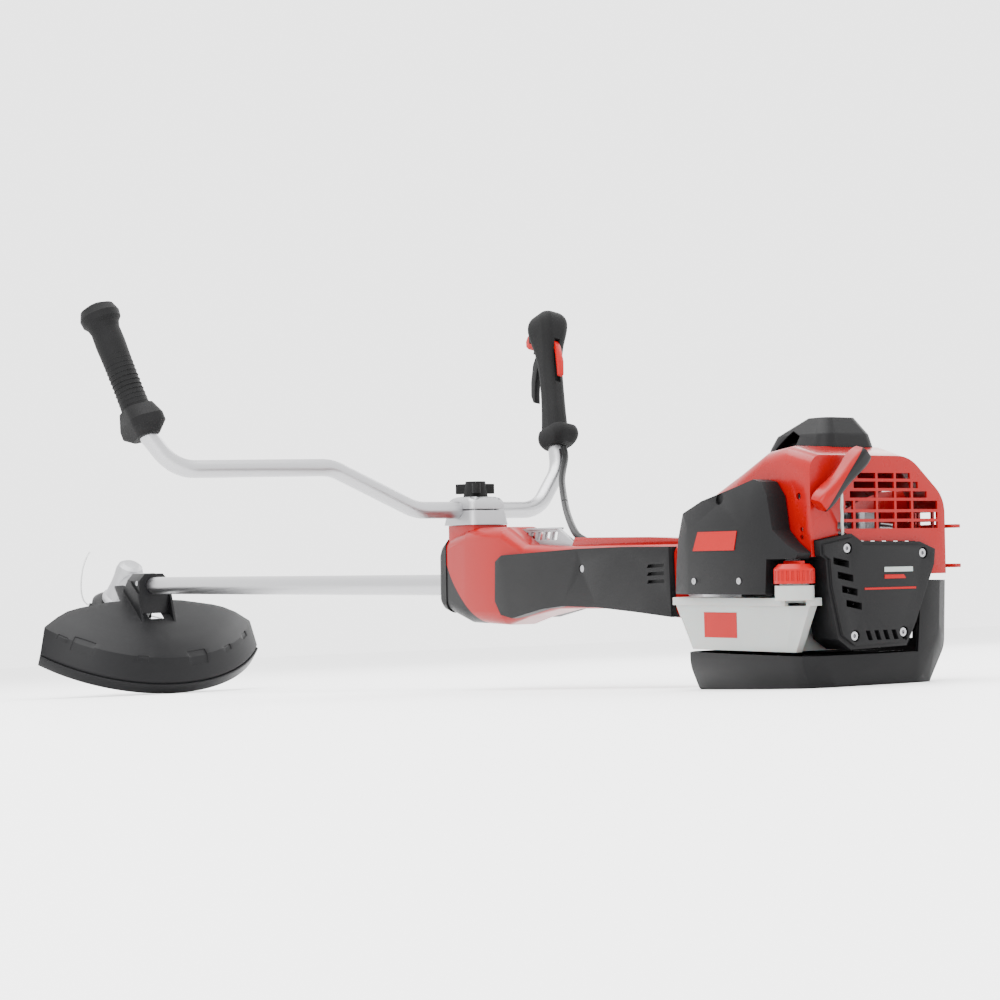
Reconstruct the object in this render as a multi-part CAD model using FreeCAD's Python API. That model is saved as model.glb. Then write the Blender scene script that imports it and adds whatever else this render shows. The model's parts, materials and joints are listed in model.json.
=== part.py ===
import FreeCAD, Part
import os
import math

# Brush cutter with a bicycle handlebar, about 52 cc, laid on the floor the way it rests between uses.
# Working frame while building: the drive shaft runs along X with the cutting head towards -X,
# the operator's left is -Y, up is +Z, and the origin is where the crank axis meets the cylinder axis.
# stand() then tips everything onto the floor plane shared by the engine foot and the guard rim.

V = FreeCAD.Vector

# ---- driving sizes (mm) ----
TUBE_D = 28.0
TUBE_WALL = 2.0
SHAFT_D = 8.0
HEAD_X = -1720.0
HEAD_TILT = 30.0
TUBE_FRONT = HEAD_X + 48.0
TUBE_REAR = -128.0
FIT = 0.05
GAP = 0.4
BAR_D = 22.0
BAR_X = -634.0
BAR_Z = 98.0
BAR_LEAN = 20.0
BAR_SCALE = 1.0
BORE_D = 44.0
STROKE = 34.0
ROD = 60.0
GUARD_R = 240.0
GUARD_RIM = 65.0
GUARD_HALF_ANGLE = 53.5
HEAD_R = 50.0
FOOT_Z = -109.0
PLATE_X = 122.0
ENGINE_SIDE = 84.0
ROPE_R = 28.0
ROPE_DIR = V(0.29, -0.27, 1.0)
GRIP_S = 117.0
CAP = (102.0, -97.0)
CAP_R = 21.0
NECK_R = 15.0

OUT = "parts"
BETA = math.radians(HEAD_TILT)
AXIS_A = V(-math.sin(BETA), 0, -math.cos(BETA))
AXIS_B = V(math.cos(BETA), 0, -math.sin(BETA))
RIM_LOW = V(HEAD_X, 0, 0) + AXIS_A * GUARD_RIM + AXIS_B * GUARD_R
STANCE = math.degrees(math.atan2(FOOT_Z - RIM_LOW.z, -RIM_LOW.x))
LIFT = -FOOT_Z * math.cos(math.radians(STANCE))


# ---- small helpers ----
def box(x0, x1, y0, y1, z0, z1):
    return Part.makeBox(x1 - x0, y1 - y0, z1 - z0, V(x0, y0, z0))


def cyl(r, p, q):
    p = V(*p)
    q = V(*q)
    d = q - p
    return Part.makeCylinder(r, d.Length, p, d)


def cone(r0, r1, p, q):
    p = V(*p)
    q = V(*q)
    d = q - p
    return Part.makeCone(r0, r1, d.Length, p, d)


def ring(ro, ri, p, q):
    return cyl(ro, p, q).cut(cyl(ri, p, q))


def rod_x(r, x0, x1, y=0.0, z=0.0):
    return cyl(r, (x0, y, z), (x1, y, z))


def rod_z(r, x, y, z0, z1):
    return cyl(r, (x, y, z0), (x, y, z1))


def rod_y(r, x, z, y0, y1):
    return cyl(r, (x, y0, z), (x, y1, z))


def fuse(shapes):
    out = shapes[0]
    if len(shapes) > 1:
        out = out.multiFuse(shapes[1:])
    return out.removeSplitter()


def cut(shape, tools):
    return shape.cut(Part.makeCompound(tools))


def prism_y(points, y0, y1):
    pts = [V(p[0], y0, p[1]) for p in points]
    face = Part.Face(Part.makePolygon(pts + [pts[0]]))
    return face.extrude(V(0, y1 - y0, 0))


def prism_x(points, x0, x1):
    pts = [V(x0, p[0], p[1]) for p in points]
    face = Part.Face(Part.makePolygon(pts + [pts[0]]))
    return face.extrude(V(x1 - x0, 0, 0))


def prism_z(points, z0, z1):
    pts = [V(p[0], p[1], z0) for p in points]
    face = Part.Face(Part.makePolygon(pts + [pts[0]]))
    return face.extrude(V(0, 0, z1 - z0))


def rounded(corners, r):
    edges = []
    c = math.sqrt(0.5)
    n = len(corners)
    starts = []
    ends = []
    mids = []
    for i in range(n):
        p = corners[i]
        a = corners[i - 1] - p
        b = corners[(i + 1) % n] - p
        a = a * (1.0 / a.Length)
        b = b * (1.0 / b.Length)
        centre = p + a * r + b * r
        starts.append(p + a * r)
        ends.append(p + b * r)
        mids.append(centre - (a + b) * (r * c))
    for i in range(n):
        edges.append(Part.Arc(starts[i], mids[i], ends[i]).toShape())
        edges.append(Part.makeLine(ends[i], starts[(i + 1) % n]))
    return Part.Wire(edges)


def section_x(x, y0, y1, z0, z1, r):
    return rounded([V(x, y0, z0), V(x, y1, z0), V(x, y1, z1), V(x, y0, z1)], r)


def section_z(z, x0, x1, y0, y1, r):
    return rounded([V(x0, y0, z), V(x1, y0, z), V(x1, y1, z), V(x0, y1, z)], r)


def loft(wires, ruled=False):
    return Part.makeLoft(wires, True, ruled)


def sweep(points, r):
    path = Part.BSplineCurve()
    path.interpolate([V(*p) for p in points])
    edge = path.toShape()
    start = V(*points[0])
    first = edge.ParameterRange[0]
    tangent = edge.tangentAt(first)
    circle = Part.Wire(Part.makeCircle(r, start, tangent))
    return Part.Wire(edge).makePipeShell([circle], True, True)


def tube_path(points, bend):
    # straight runs joined by tangent arcs
    pts = [V(*p) for p in points]
    edges = []
    last = pts[0]
    for i in range(1, len(pts) - 1):
        a = pts[i - 1] - pts[i]
        b = pts[i + 1] - pts[i]
        la = a.Length
        lb = b.Length
        a = a * (1.0 / la)
        b = b * (1.0 / lb)
        half = 0.5 * math.acos(max(-1.0, min(1.0, a.dot(b))))
        run = min(bend / math.tan(half), 0.48 * la, 0.48 * lb)
        r = run * math.tan(half)
        p = pts[i] + a * run
        q = pts[i] + b * run
        m = a + b
        m = m * (1.0 / m.Length)
        centre = pts[i] + m * (r / math.sin(half))
        edges.append(Part.makeLine(last, p))
        edges.append(Part.Arc(p, centre - m * r, q).toShape())
        last = q
    edges.append(Part.makeLine(last, pts[-1]))
    return Part.Wire(edges)


def pipe(points, bend, r):
    path = tube_path(points, bend)
    d = V(*points[1]) - V(*points[0])
    circle = Part.Wire(Part.makeCircle(r, V(*points[0]), d))
    return path.makePipeShell([circle], True, False)


def revolve_z(profile):
    pts = [V(p[0], 0, p[1]) for p in profile]
    face = Part.Face(Part.makePolygon(pts + [pts[0]]))
    return face.revolve(V(0, 0, 0), V(0, 0, 1), 360)


def revolve_x(profile):
    pts = [V(p[0], 0, p[1]) for p in profile]
    face = Part.Face(Part.makePolygon(pts + [pts[0]]))
    return face.revolve(V(0, 0, 0), V(1, 0, 0), 360)


def turned(shape, origin, axis, angle):
    out = shape.copy()
    out.rotate(V(*origin), V(*axis), angle)
    return out


def around_x(shape, count, start=0.0):
    return [turned(shape, (0, 0, 0), (1, 0, 0), start + 360.0 * i / count) for i in range(count)]


def moved(shape, x, y, z):
    out = shape.copy()
    out.translate(V(x, y, z))
    return out


def head(shape):
    # local head frame: +X away from the cutting side, +Z up along the output shaft
    out = shape.copy()
    out.rotate(V(0, 0, 0), V(0, 1, 0), HEAD_TILT)
    out.translate(V(HEAD_X, 0, 0))
    return out


def stand(shape):
    out = shape.copy()
    out.rotate(V(0, 0, 0), V(0, 1, 0), STANCE)
    out.translate(V(0, 0, LIFT))
    return out


def save(name, shape):
    stand(shape).exportStep(os.path.join(OUT, name + ".step"))


# ---- shaft line ----
def shaft_tube():
    return ring(TUBE_D / 2, TUBE_D / 2 - TUBE_WALL, (TUBE_FRONT, 0, 0), (TUBE_REAR, 0, 0))


def bush_places():
    return [TUBE_FRONT + 40 + i * (TUBE_REAR - TUBE_FRONT - 100) / 5.0 for i in range(6)]


def shaft_bushes():
    r = TUBE_D / 2 - TUBE_WALL
    parts = []
    for x in bush_places():
        b = ring(r, SHAFT_D / 2 + FIT, (x, 0, 0), (x + 22, 0, 0))
        slots = around_x(box(x - 1, x + 23, -2, 2, r - 3.5, r + 1), 4)
        parts.append(cut(b, slots))
    return Part.makeCompound(parts)


def drive_shaft():
    return rod_x(SHAFT_D / 2, HEAD_X + 18, -100)


def clutch_drum():
    hub = ring(6.0, SHAFT_D / 2, (-122, 0, 0), (-98, 0, 0))
    disc = ring(38, SHAFT_D / 2, (-101, 0, 0), (-98, 0, 0))
    wall = ring(38, 35.5, (-101, 0, 0), (-74, 0, 0))
    holes = around_x(rod_x(4.5, -102, -97, 0, 22), 6)
    return cut(fuse([hub, disc, wall]), holes)


def bevel(half_angle, near, far, bore, teeth):
    # toothed cone with its apex at the origin, opening along +Z
    t = math.tan(math.radians(half_angle))
    wires = []
    for z, r in ((near, near * t), (far, far * t)):
        pts = []
        for i in range(4 * teeth):
            a = 2 * math.pi * i / (4.0 * teeth)
            q = r if i % 4 < 2 else r * 0.84
            pts.append(V(q * math.cos(a), q * math.sin(a), z))
        wires.append(Part.makePolygon(pts + [pts[0]]))
    body = Part.makeLoft(wires, True, True)
    back = cone(far * t * 0.84, far * t * 0.6, (0, 0, far - 0.5), (0, 0, far + 3))
    return fuse([body, back]).cut(rod_z(bore, 0, 0, near - 1, far + 5))


def bevel_pinion():
    g = bevel(24.7, 17, 27, SHAFT_D / 2, 12)
    g.rotate(V(0, 0, 0), V(0, 1, 0), 90)
    g.translate(V(HEAD_X, 0, 0))
    return fuse([g, ring(7.0, SHAFT_D / 2, (HEAD_X + 30, 0, 0), (HEAD_X + 36, 0, 0))])


# ---- gearbox and cutting head (local head frame unless said otherwise) ----
def gearbox_outer():
    tower = revolve_z([(0, -24), (31, -24), (29, -12), (26, 0), (24, 14), (23, 30), (20, 38), (14, 42), (0, 43)])
    flange = revolve_z([(0, -30), (35, -30), (35, -24), (31, -20), (0, -20)])
    h = head(fuse([tower, flange]))
    socket = cone(21.5, 20, (HEAD_X + 6, 0, 0), (HEAD_X + 60, 0, 0))
    collar = rod_x(21, HEAD_X + 58, HEAD_X + 104)
    ears = box(HEAD_X + 62, HEAD_X + 100, -9, 9, -27, -14)
    return fuse([h, socket, collar, ears])


def gearbox_housing():
    inner = revolve_z([(0, -31), (11, -31), (11, -24), (16, -24), (16, -10), (19, -6), (20.5, 14), (20.0, 27),
                       (10, 27), (10, 37), (0, 37)])
    bore = fuse([rod_x(15, HEAD_X + 10, HEAD_X + 29), rod_x(13, HEAD_X + 28, HEAD_X + 40),
                 rod_x(9, HEAD_X + 39, TUBE_FRONT + 1), rod_x(TUBE_D / 2, TUBE_FRONT, HEAD_X + 110)])
    slot = box(HEAD_X + 60, HEAD_X + 110, -1.2, 1.2, -30, -10)
    screws = []
    for x in (HEAD_X + 70, HEAD_X + 92):
        screws = screws + [rod_y(3, x, -21, -20, 20), rod_y(5.2, x, -21, -25, -9), rod_y(5.2, x, -21, 9, 25)]
    return cut(gearbox_outer(), [head(inner), bore, slot] + screws)


def gearbox_bearings():
    low = head(ring(16, 6 + FIT, (0, 0, -23), (0, 0, -11)))
    top = head(ring(10, 5 + FIT, (0, 0, 28), (0, 0, 36)))
    pin = ring(13, 7 + FIT, (HEAD_X + 31, 0, 0), (HEAD_X + 39, 0, 0))
    return Part.makeCompound([low, top, pin])


def gearbox_bolts():
    parts = []
    for x in (HEAD_X + 70, HEAD_X + 92):
        parts.append(fuse([rod_y(3, x, -21, -9, 9), rod_y(4.6, x, -21, -13, -9), ring_nut(x)]))
    return Part.makeCompound(parts)


def ring_nut(x):
    return rod_y(4.8, x, -21, 9, 12.5)


def output_shaft():
    g = bevel(34.1, 13.5, 23.5, 4.0, 16)
    stem = fuse([rod_z(5, 0, 0, 22, 36.6), rod_z(6, 0, 0, -62, 24)])
    flange = rod_z(10, 0, 0, -31.5, -24.6)
    return head(fuse([g, stem, flange]))


def trimmer_head():
    shell = revolve_z([(0, -33), (20, -33), (44, -36), (HEAD_R, -40), (HEAD_R, -60), (46, -66), (40, -68),
                       (40, -64), (44, -58), (44, -42), (20, -38), (0, -38)])
    boss = rod_z(13, 0, 0, -62, -33)
    knurls = [turned(rod_z(2.2, HEAD_R - 0.6, 0, -58, -42), (0, 0, 0), (0, 0, 1), 12.0 * i + 6) for i in range(30)]
    adapter = rod_z(20, 0, 0, -34, -32)
    eyes = [rod_of(a) for a in (-112, 68)]
    body = fuse([shell, boss, adapter])
    body = cut(body, knurls)
    body = fuse([body] + eyes)
    holes = [rod_of(a, 2.2, 36, 60) for a in (-112, 68)]
    body = cut(body, [rod_z(6, 0, 0, -63, -30)] + holes)
    return head(body)


def rod_of(angle, r=5.0, r0=45.0, r1=53.5):
    a = math.radians(angle)
    return cyl(r, (r0 * math.cos(a), r0 * math.sin(a), -50), (r1 * math.cos(a), r1 * math.sin(a), -50))


def line_spool():
    body = fuse([rod_z(20, 0, 0, -60, -42), rod_z(38, 0, 0, -45, -43), rod_z(38, 0, 0, -60, -58),
                 ring(34, 20, (0, 0, -58), (0, 0, -45))])
    return head(cut(body, [rod_z(13, 0, 0, -61, -40), rod_z(16.6, 0, 0, -61, -49)]))


def bump_knob():
    cap = revolve_z([(0, -69), (36, -69), (36, -78), (30, -88), (18, -94), (0, -95)])
    grooves = [turned(rod_z(3, 36.5, 0, -86, -68), (0, 0, 0), (0, 0, 1), 30.0 * i) for i in range(12)]
    sleeve = ring(16, 13 + FIT, (0, 0, -71), (0, 0, -61.5))
    return head(fuse([cut(cap, grooves), sleeve]))


def line_points(side):
    a = math.radians(-112 if side == 0 else 68)
    c = math.cos(a)
    s = math.sin(a)
    if side == 0:
        radial = [(40, -50), (50, -50), (60, -46), (70, -30), (76, -2), (77, 26), (72, 52)]
    else:
        radial = [(40, -50), (52, -50), (70, -51), (92, -54), (112, -60)]
    return [(r * c, r * s, z) for r, z in radial]


def trimmer_line():
    return head(Part.makeCompound([sweep(line_points(0), 1.5), sweep(line_points(1), 1.5)]))


def guard_disc():
    t = 3.2
    outer = [(44, 22), (90, 18), (150, 11), (190, 2), (218, -10), (GUARD_R, -42), (GUARD_R, -50)]
    inner = [(GUARD_R - t, -50), (GUARD_R - t, -43), (218 - t, -13), (190 - 1, -1.5), (150, 7.5), (90, 14.5),
             (44, 18.5)]
    return revolve_z(outer + inner)


def guard_outline(grow=0.0):
    a = math.radians(GUARD_HALF_ANGLE)
    rim = GUARD_R + 10
    k = GUARD_R / 240.0
    left = [(36, -40), (80, -46), (80, -66), (90, -142 * k), (110 * k, -186 * k),
            (rim * math.cos(a), -rim * math.sin(a))]
    arc = []
    for i in range(1, 12):
        t = -a + 2 * a * i / 12.0
        arc.append((1.25 * rim * math.cos(t), 1.25 * rim * math.sin(t)))
    right = [(p[0], -p[1]) for p in reversed(left)]
    return left + arc + right


def cutting_guard():
    plate = guard_disc().common(prism_z(guard_outline(), -70, 60))
    ribs = []
    for y in (-31, 27):
        ribs.append(prism_y([(52, 20), (60, 46), (104, 44), (150, 4), (150, -2), (52, 10)], y, y + 4))
    body = fuse([plate] + ribs)
    windows = []
    for ang in (-40, 12):
        w = turned(box(208, 226, -18, 18, -45, 0), (0, 0, 0), (0, 0, 1), ang)
        windows.append(w)
    for ang in (-49.5, -14, 30, 46):
        windows.append(turned(box(216, 222, -9, 9, -45, 0), (0, 0, 0), (0, 0, 1), ang))
    pocket = box(98, 132, -14, 14, 2, 30)
    backing = moved(guard_disc(), 0, 0, -1.9).common(Part.makeCompound(windows))
    body = head(fuse([cut(body, windows + [pocket]), backing.common(prism_z(guard_outline(), -49, 60))]))
    room = [rod_x(22, HEAD_X - 30, HEAD_X + 160), box(HEAD_X + 50, HEAD_X + 104, -18, 18, -32, 0)]
    return cut(body, room)


def guard_bracket():
    x0 = HEAD_X + 62
    x1 = HEAD_X + 110
    block = prism_x([(-27, -46), (27, -46), (27, 8), (16, 20), (-16, 20), (-27, 8)], x0, x1)
    block = block.cut(rod_x(21, x0 - 1, HEAD_X + 104))
    block = block.cut(rod_x(TUBE_D / 2, x0 - 1, x1 + 1))
    block = block.cut(box(x0 - 1, HEAD_X + 104, -13.2, 13.2, -30, 0))
    return block.cut(cutting_guard())


def guard_skirt():
    t = 3.2
    band = revolve_z([(GUARD_R, -46), (GUARD_R + 3.4, -46), (GUARD_R + 3.4, -48), (GUARD_R, -GUARD_RIM),
                      (GUARD_R - t, -GUARD_RIM), (GUARD_R - t, -50), (GUARD_R, -50)])
    return head(band.common(prism_z(guard_outline(), -70, 60)))


def line_cutter():
    blade = box(GUARD_R - 38, GUARD_R - 4.0, -1, 1, -63, -51)
    foot = box(GUARD_R - 6.0, GUARD_R - 4.0, -14, 14, -63, -51)
    return head(turned(fuse([blade, foot]), (0, 0, 0), (0, 0, 1), -46))


# ---- engine core ----
def clutch_housing():
    body = revolve_x([(-168, 0), (-168, 22), (-132, 24), (-120, 34), (-108, 48), (-70, 55), (-40, 57), (-40, 0)])
    hollow = revolve_x([(-106, 0), (-106, 41), (-70, 41), (-70, 51), (-39, 51), (-39, 0)])
    bore = rod_x(TUBE_D / 2, -170, TUBE_REAR)
    seat = fuse([rod_x(12, -124, -105), rod_x(8, -130, -120)])
    slots = around_x(box(-104, -76, -5, 5, 38, 60), 6, 30)
    return cut(body, [hollow, bore, seat] + slots)


def drum_bearing():
    return ring(12, 6 + FIT, (-120, 0, 0), (-108, 0, 0))


def crankcase():
    body = fuse([rod_x(40, -40, 46), box(-34, 34, -34, 34, 0, 38), box(-40, -30, -57, 57, -14, 14)])
    feet = [box(x0, x0 + 12, -32, 32, -44, -30) for x0 in (-34, 26)]
    body = fuse([body] + feet)
    cavity = rod_x(31, -18, 18)
    cavity = fuse([cavity, rod_z(BORE_D / 2 + 0.8, 0, 0, 10, 40)])
    seats = [rod_x(16, -41, -30), rod_x(16, 36, 47), rod_x(9, -41, 47)]
    return cut(body, [cavity, box(-50, 50, -45, 45, 38, 60)] + seats)


def crank_bearings():
    return Part.makeCompound([ring(16, 7.5 + FIT, (-40, 0, 0), (-30, 0, 0)),
                              ring(16, 7.5 + FIT, (36, 0, 0), (46, 0, 0)), drum_bearing()])


def crankshaft():
    r = STROKE / 2
    parts = [rod_x(7.5, -50, -8), rod_x(7.5, 8, 70), rod_x(6, -92, -50), rod_x(5, 70, 84)]
    webs = []
    for x0 in (-15, 7):
        w = rod_x(28, x0, x0 + 8)
        w = w.cut(box(x0 - 1, x0 + 9, 13, 30, 6, 30))
        w = w.cut(box(x0 - 1, x0 + 9, -30, -13, 6, 30))
        webs.append(w)
    pin = rod_x(6.5, -8, 8, 0, r)
    return fuse(parts + webs + [pin])


def flywheel():
    rim = ring(46, 36, (-64, 0, 0), (-46, 0, 0))
    hub = ring(12, 6, (-64, 0, 0), (-51, 0, 0))
    hub2 = ring(12, 7.5, (-50, 0, 0), (-44, 0, 0))
    fins = around_x(box(-46, -42, -1.5, 1.5, 24, 45), 14)
    disc = ring(37, 12, (-52, 0, 0), (-47, 0, 0))
    web = ring(12.5, 6, (-52, 0, 0), (-50, 0, 0))
    holes = around_x(rod_x(5, -60, -44, 0, 26), 6, 30)
    body = fuse([rim, disc, hub, hub2, web])
    body = cut(body, holes)
    return fuse([body] + fins)


def clutch_shoes():
    parts = []
    for k in range(2):
        shoe = ring(33, 12, (-92, 0, 0), (-76, 0, 0))
        shoe = shoe.cut(box(-93, -75, -40, 40, -40, 3))
        shoe = shoe.cut(box(-93, -75, -3, 3, 0, 40).common(rod_x(17, -93, -75)))
        parts.append(turned(fuse([shoe, rod_x(3.5, -76, -64.5, 22, 10)]), (0, 0, 0), (1, 0, 0), 180 * k))
    spider = ring(12, 6, (-90, 0, 0), (-64, 0, 0))
    plate = ring(30, 6, (-74.5, 0, 0), (-72, 0, 0))
    return fuse([parts[0], parts[1], spider, plate])


def cylinder():
    liner = fuse([rod_z(29, 0, 0, 38, 106), rod_z(13, 0, 0, 105, 112)])
    foot = box(-34, 34, -34, 34, 38, 44)
    fins = []
    for i in range(7):
        z = 52 + 7.5 * i
        fins.append(section_plate(z, 38.5, 40, 2.2))
    ports = [box(-14, 14, 24, 52, 58, 76), box(-13, 13, -50, -24, 56, 74)]
    body = fuse([liner, foot] + fins + ports)
    bore = rod_z(BORE_D / 2, 0, 0, 30, 101)
    exhaust = rod_y(7, 0, 67, 18, 53)
    intake = rod_y(7, 0, 65, -51, -18)
    plug = rod_z(7, 0, 0, 99, 113)
    return cut(body, [bore, exhaust, intake, plug])


def section_plate(z, hx, hy, t):
    return Part.Face(section_z(z, -hx, hx, -hy, hy, 8)).extrude(V(0, 0, t))


def piston():
    r = BORE_D / 2 - FIT
    z0 = ROD - 12
    body = rod_z(r, 0, 0, z0, z0 + 34)
    hollow = rod_z(r - 4, 0, 0, z0 - 1, z0 + 26)
    rings = [ring(r + 1, r - 1.2, (0, 0, z0 + a), (0, 0, z0 + a + 1.6)) for a in (24.5, 29)]
    pin = rod_y(6, 0, ROD, -r + 2, r - 2)
    body = cut(body, [hollow] + rings)
    return fuse([body, pin])


def ignition_coil():
    core = box(-66, -50, -18, 18, 60, 70)
    coil = rod_y(9, -58, 70, -10, 10)
    return fuse([core, coil] + [box(-62, -50, -18, 18, 59.5, 66)])


def spark_plug():
    return fuse([rod_z(6.9, 0, 0, 101, 113), rod_z(10, 0, 0, 112, 120), cone(7.5, 5, (0, 0, 120), (0, 0, 136)),
                 rod_z(3, 0, 0, 136, 144)])


def plug_boot():
    body = fuse([cone(11, 9.5, (0, 0, 124), (0, 0, 152)), cyl(5, (0, 0, 146), (26, 0, 150))])
    lead = sweep([(24, 0, 149.7), (33, -2, 146), (36, -8, 134), (35, -14, 122)], 3)
    plug = fuse([cone(7.5, 5, (0, 0, 120), (0, 0, 136)), rod_z(3, 0, 0, 136, 144)])
    return fuse([body, lead]).cut(plug)


def intake_manifold():
    body = fuse([box(-16, 16, -54, -50, 52, 78), rod_y(12, 0, 65, -62, -50)])
    return body.cut(rod_y(7, 0, 65, -63, -49))


def carburetor():
    body = fuse([box(-17, 17, -86, -62, 47, 83), rod_y(14, 0, 65, -88, -62), rod_z(9, 0, -74, 38, 48)])
    lever = fuse([rod_z(4, 8, -74, 83, 89), box(-2, 18, -77, -71, 87, 89)])
    return cut(fuse([body, lever]), [rod_y(7, 0, 65, -89, -61)])


def cover_outline():
    return [(-84, -8), (-80, 22), (-73, 52), (-58, 78), (-28, 91), (22, 103), (52, 111), (66, 108), (78, 93),
            (84, 58), (100, 44), (116, 34), (112, 28), (76, 28), (74, -8)]


def cover_solid(inset, y_out, y_in):
    # outer face is proud in the middle and falls away towards the starter side
    pts = cover_outline()
    cx = 10.0
    cz = 45.0
    k = 1.0 - inset / 70.0
    shrunk = [(cx + (x - cx) * k, cz + (z - cz) * k) for x, z in pts]
    return prism_y(shrunk, y_out, y_in)


def air_filter_cover():
    body = cover_solid(0, -118, -86)
    tilt = prism_z([(46, -130), (140, -130), (140, -98), (46, -118)], -40, 140)
    top = prism_x([(-130, 60), (-118, 60), (-104, 124), (-104, 150), (-130, 150)], -140, 140)
    front = prism_z([(-100, -130), (-44, -130), (-44, -118), (-84, -104), (-100, -96)], -40, 140)
    body = cut(body, [tilt, top, front])
    hollow = cover_solid(5, -114, -80)
    htilt = prism_z([(42, -130), (140, -130), (140, -93), (42, -113)], -40, 140)
    htop = prism_x([(-130, 50), (-113, 50), (-99, 116), (-99, 150), (-130, 150)], -140, 140)
    hfront = prism_z([(-100, -130), (-40, -130), (-40, -113), (-80, -99), (-100, -90)], -40, 140)
    hollow = cut(hollow, [htilt, htop, hfront])
    body = body.cut(hollow)
    notch = rod_y(6, 2, 92, -125, -108)
    return body.cut(notch)


def air_filter():
    frame = box(-40, 46, -96, -88.3, 24, 82).cut(rod_y(7, 0, 65, -97, -88))
    foam = box(-36, 42, -104, -96, 28, 78)
    return Part.makeCompound([frame, foam])


def muffler():
    body = loft([section_z(46, -30, 38, 53, 90, 10), section_z(80, -30, 38, 53, 90, 10)])
    flange = box(-18, 18, 52, 54, 56, 78)
    tail = cyl(6, (30, 84, 60), (44, 98, 58))
    hollow = loft([section_z(49, -27, 35, 56, 87, 8), section_z(77, -27, 35, 56, 87, 8)])
    body = fuse([body, flange, tail])
    return cut(body, [hollow, cyl(4, (26, 80, 60.5), (46, 100, 57.7)), rod_y(7, 0, 67, 50, 60)])


# ---- engine covers ----
def shroud_section(x, t, left, right, top, shoulder, z0, r):
    # the right shoulder slopes down from the top to the muffler side
    pts = [V(x, left + t, z0), V(x, right - t, z0), V(x, right - t, shoulder - 0.6 * t),
           V(x, right - 50 - 0.4 * t, top - t), V(x, left + t, top - t)]
    return corners_cut(pts, r)


def corners_cut(pts, r):
    # closed outline whose corners are arcs of one reach from the corner
    edges = []
    n = len(pts)
    starts = []
    ends = []
    for i in range(n):
        p = pts[i]
        a = pts[i - 1] - p
        b = pts[(i + 1) % n] - p
        a = a * (1.0 / a.Length)
        b = b * (1.0 / b.Length)
        q0 = p + a * r
        q1 = p + b * r
        half = 0.5 * math.acos(max(-1.0, min(1.0, a.dot(b))))
        m = a + b
        m = m * (1.0 / m.Length)
        mid = p + m * (r / math.cos(half) - r * math.tan(half))
        starts.append(q0)
        ends.append(q1)
        edges.append(Part.Arc(q0, mid, q1).toShape())
    closed = []
    for i in range(n):
        closed.append(edges[i])
        closed.append(Part.makeLine(ends[i], starts[(i + 1) % n]))
    return Part.Wire(closed)


def shroud_solid(t):
    # t > 0 gives the hollow inside, which runs out through the open underside
    z0 = -6 if t == 0 else -20
    side = -ENGINE_SIDE
    s = [shroud_section(-104 + t, t, -62, 78, 80, 60, z0, 12 - 0.5 * t),
         shroud_section(-60, t, -76, 96, 98, 74, z0, 14 - 0.5 * t),
         shroud_section(0, t, side, 104, 121, 88, z0, 16 - 0.5 * t),
         shroud_section(42, t, side, 106, 141, 93, z0, 16 - 0.5 * t),
         shroud_section(76, t, side, 107, 145, 95, z0, 16 - 0.5 * t),
         shroud_section(114 - t, t, side, 105, 134, 90, z0, 16 - 0.5 * t)]
    return loft(s, True)


def rope_unit():
    return ROPE_DIR * (1.0 / ROPE_DIR.Length)


def rope_point(s):
    return V(100, -ROPE_R, 0) + rope_unit() * s


def engine_shroud():
    body = shroud_solid(0).cut(shroud_solid(3.0))
    tools = [box(-140, 140, -120, 140, -40, 10)]
    tools.append(box(-130, -30, -62, 62, -10, 62))
    tools.append(prism_y([(-92, 0), (-78, 50), (-30, 84), (50, 94), (62, 88), (70, 40), (70, 0)], -100, -70))
    tools.append(box(-46, 60, 92, 120, 20, 100))
    tools.append(box(-16, 56, -24, 18, 100, 160))
    tools.append(prism_x(plate_outline(0.6), 100, 125))
    bar = 3.2
    rows = [56.5, 66.5, 76.5, 88.5, 98.5, 108.5, 117.5]
    for k in range(6):
        z0 = rows[k] + bar / 2
        z1 = rows[k + 1] - bar / 2
        y_right = 96 if z1 < 88 else 92 - 1.25 * (z1 - 88)
        y_left = -50 + 0.55 * (z0 - 56)
        split = [y_left] + [y for y in (-24, 8, 34, 58) if y_left + 8 < y < y_right - 8] + [y_right]
        for i in range(len(split) - 1):
            tools.append(box(108, 118, split[i] + bar / 2, split[i + 1] - bar / 2, z0, z1))
        x_split = [30, 52, 74, 96, 108]
        if z1 < 86:
            for i in range(len(x_split) - 1):
                tools.append(box(x_split[i] + bar / 2, x_split[i + 1] - bar / 2, 98, 112, z0, z1))
    tools.append(rod_y(3.5, 96, 92, -90, -76))
    tools.append(rod_y(2.5, 100, 50, -90, -76))
    tools.append(rod_y(2.5, 100, 58, -90, -76))
    tools.append(box(70, 130, -125, -69, -20, 30))
    rope = Part.makeCylinder(5, 200, rope_point(0), rope_unit())
    tools.append(rope)
    return cut(body, tools)


def hood_solid(t):
    z0 = 118 if t == 0 else 110
    s = [section_z(z0, -26 + t, 80 - t, -34 + t, 50 - t, 16 - t),
         section_z(146, -17 + t, 78 - t, -31 + t, 46 - t, 16 - t),
         section_z(159, -9 + t, 75 - t, -27 + t, 42 - t, 14 - t),
         section_z(177 - t, 30 + t, 64 - t, -16 + t, 30 - t, 11 - t)]
    return loft(s, True)


def top_hood():
    body = hood_solid(0).cut(hood_solid(3.0))
    body = body.cut(shroud_solid(0))
    window = prism_y([(-4, 140), (30, 140), (36, 158), (22, 164), (8, 152)], -60, -14)
    return body.cut(window)


def tank_plan(grow):
    g = grow
    return [(-107 - g, -84 - g), (-94, -98 - g), (100, -98 - g), (114 + g, -86 - g), (110 + g, -72 + g),
            (76 + g, -72 + g), (76 + g, 54 + g), (-107 - g, 54 + g)]


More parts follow.
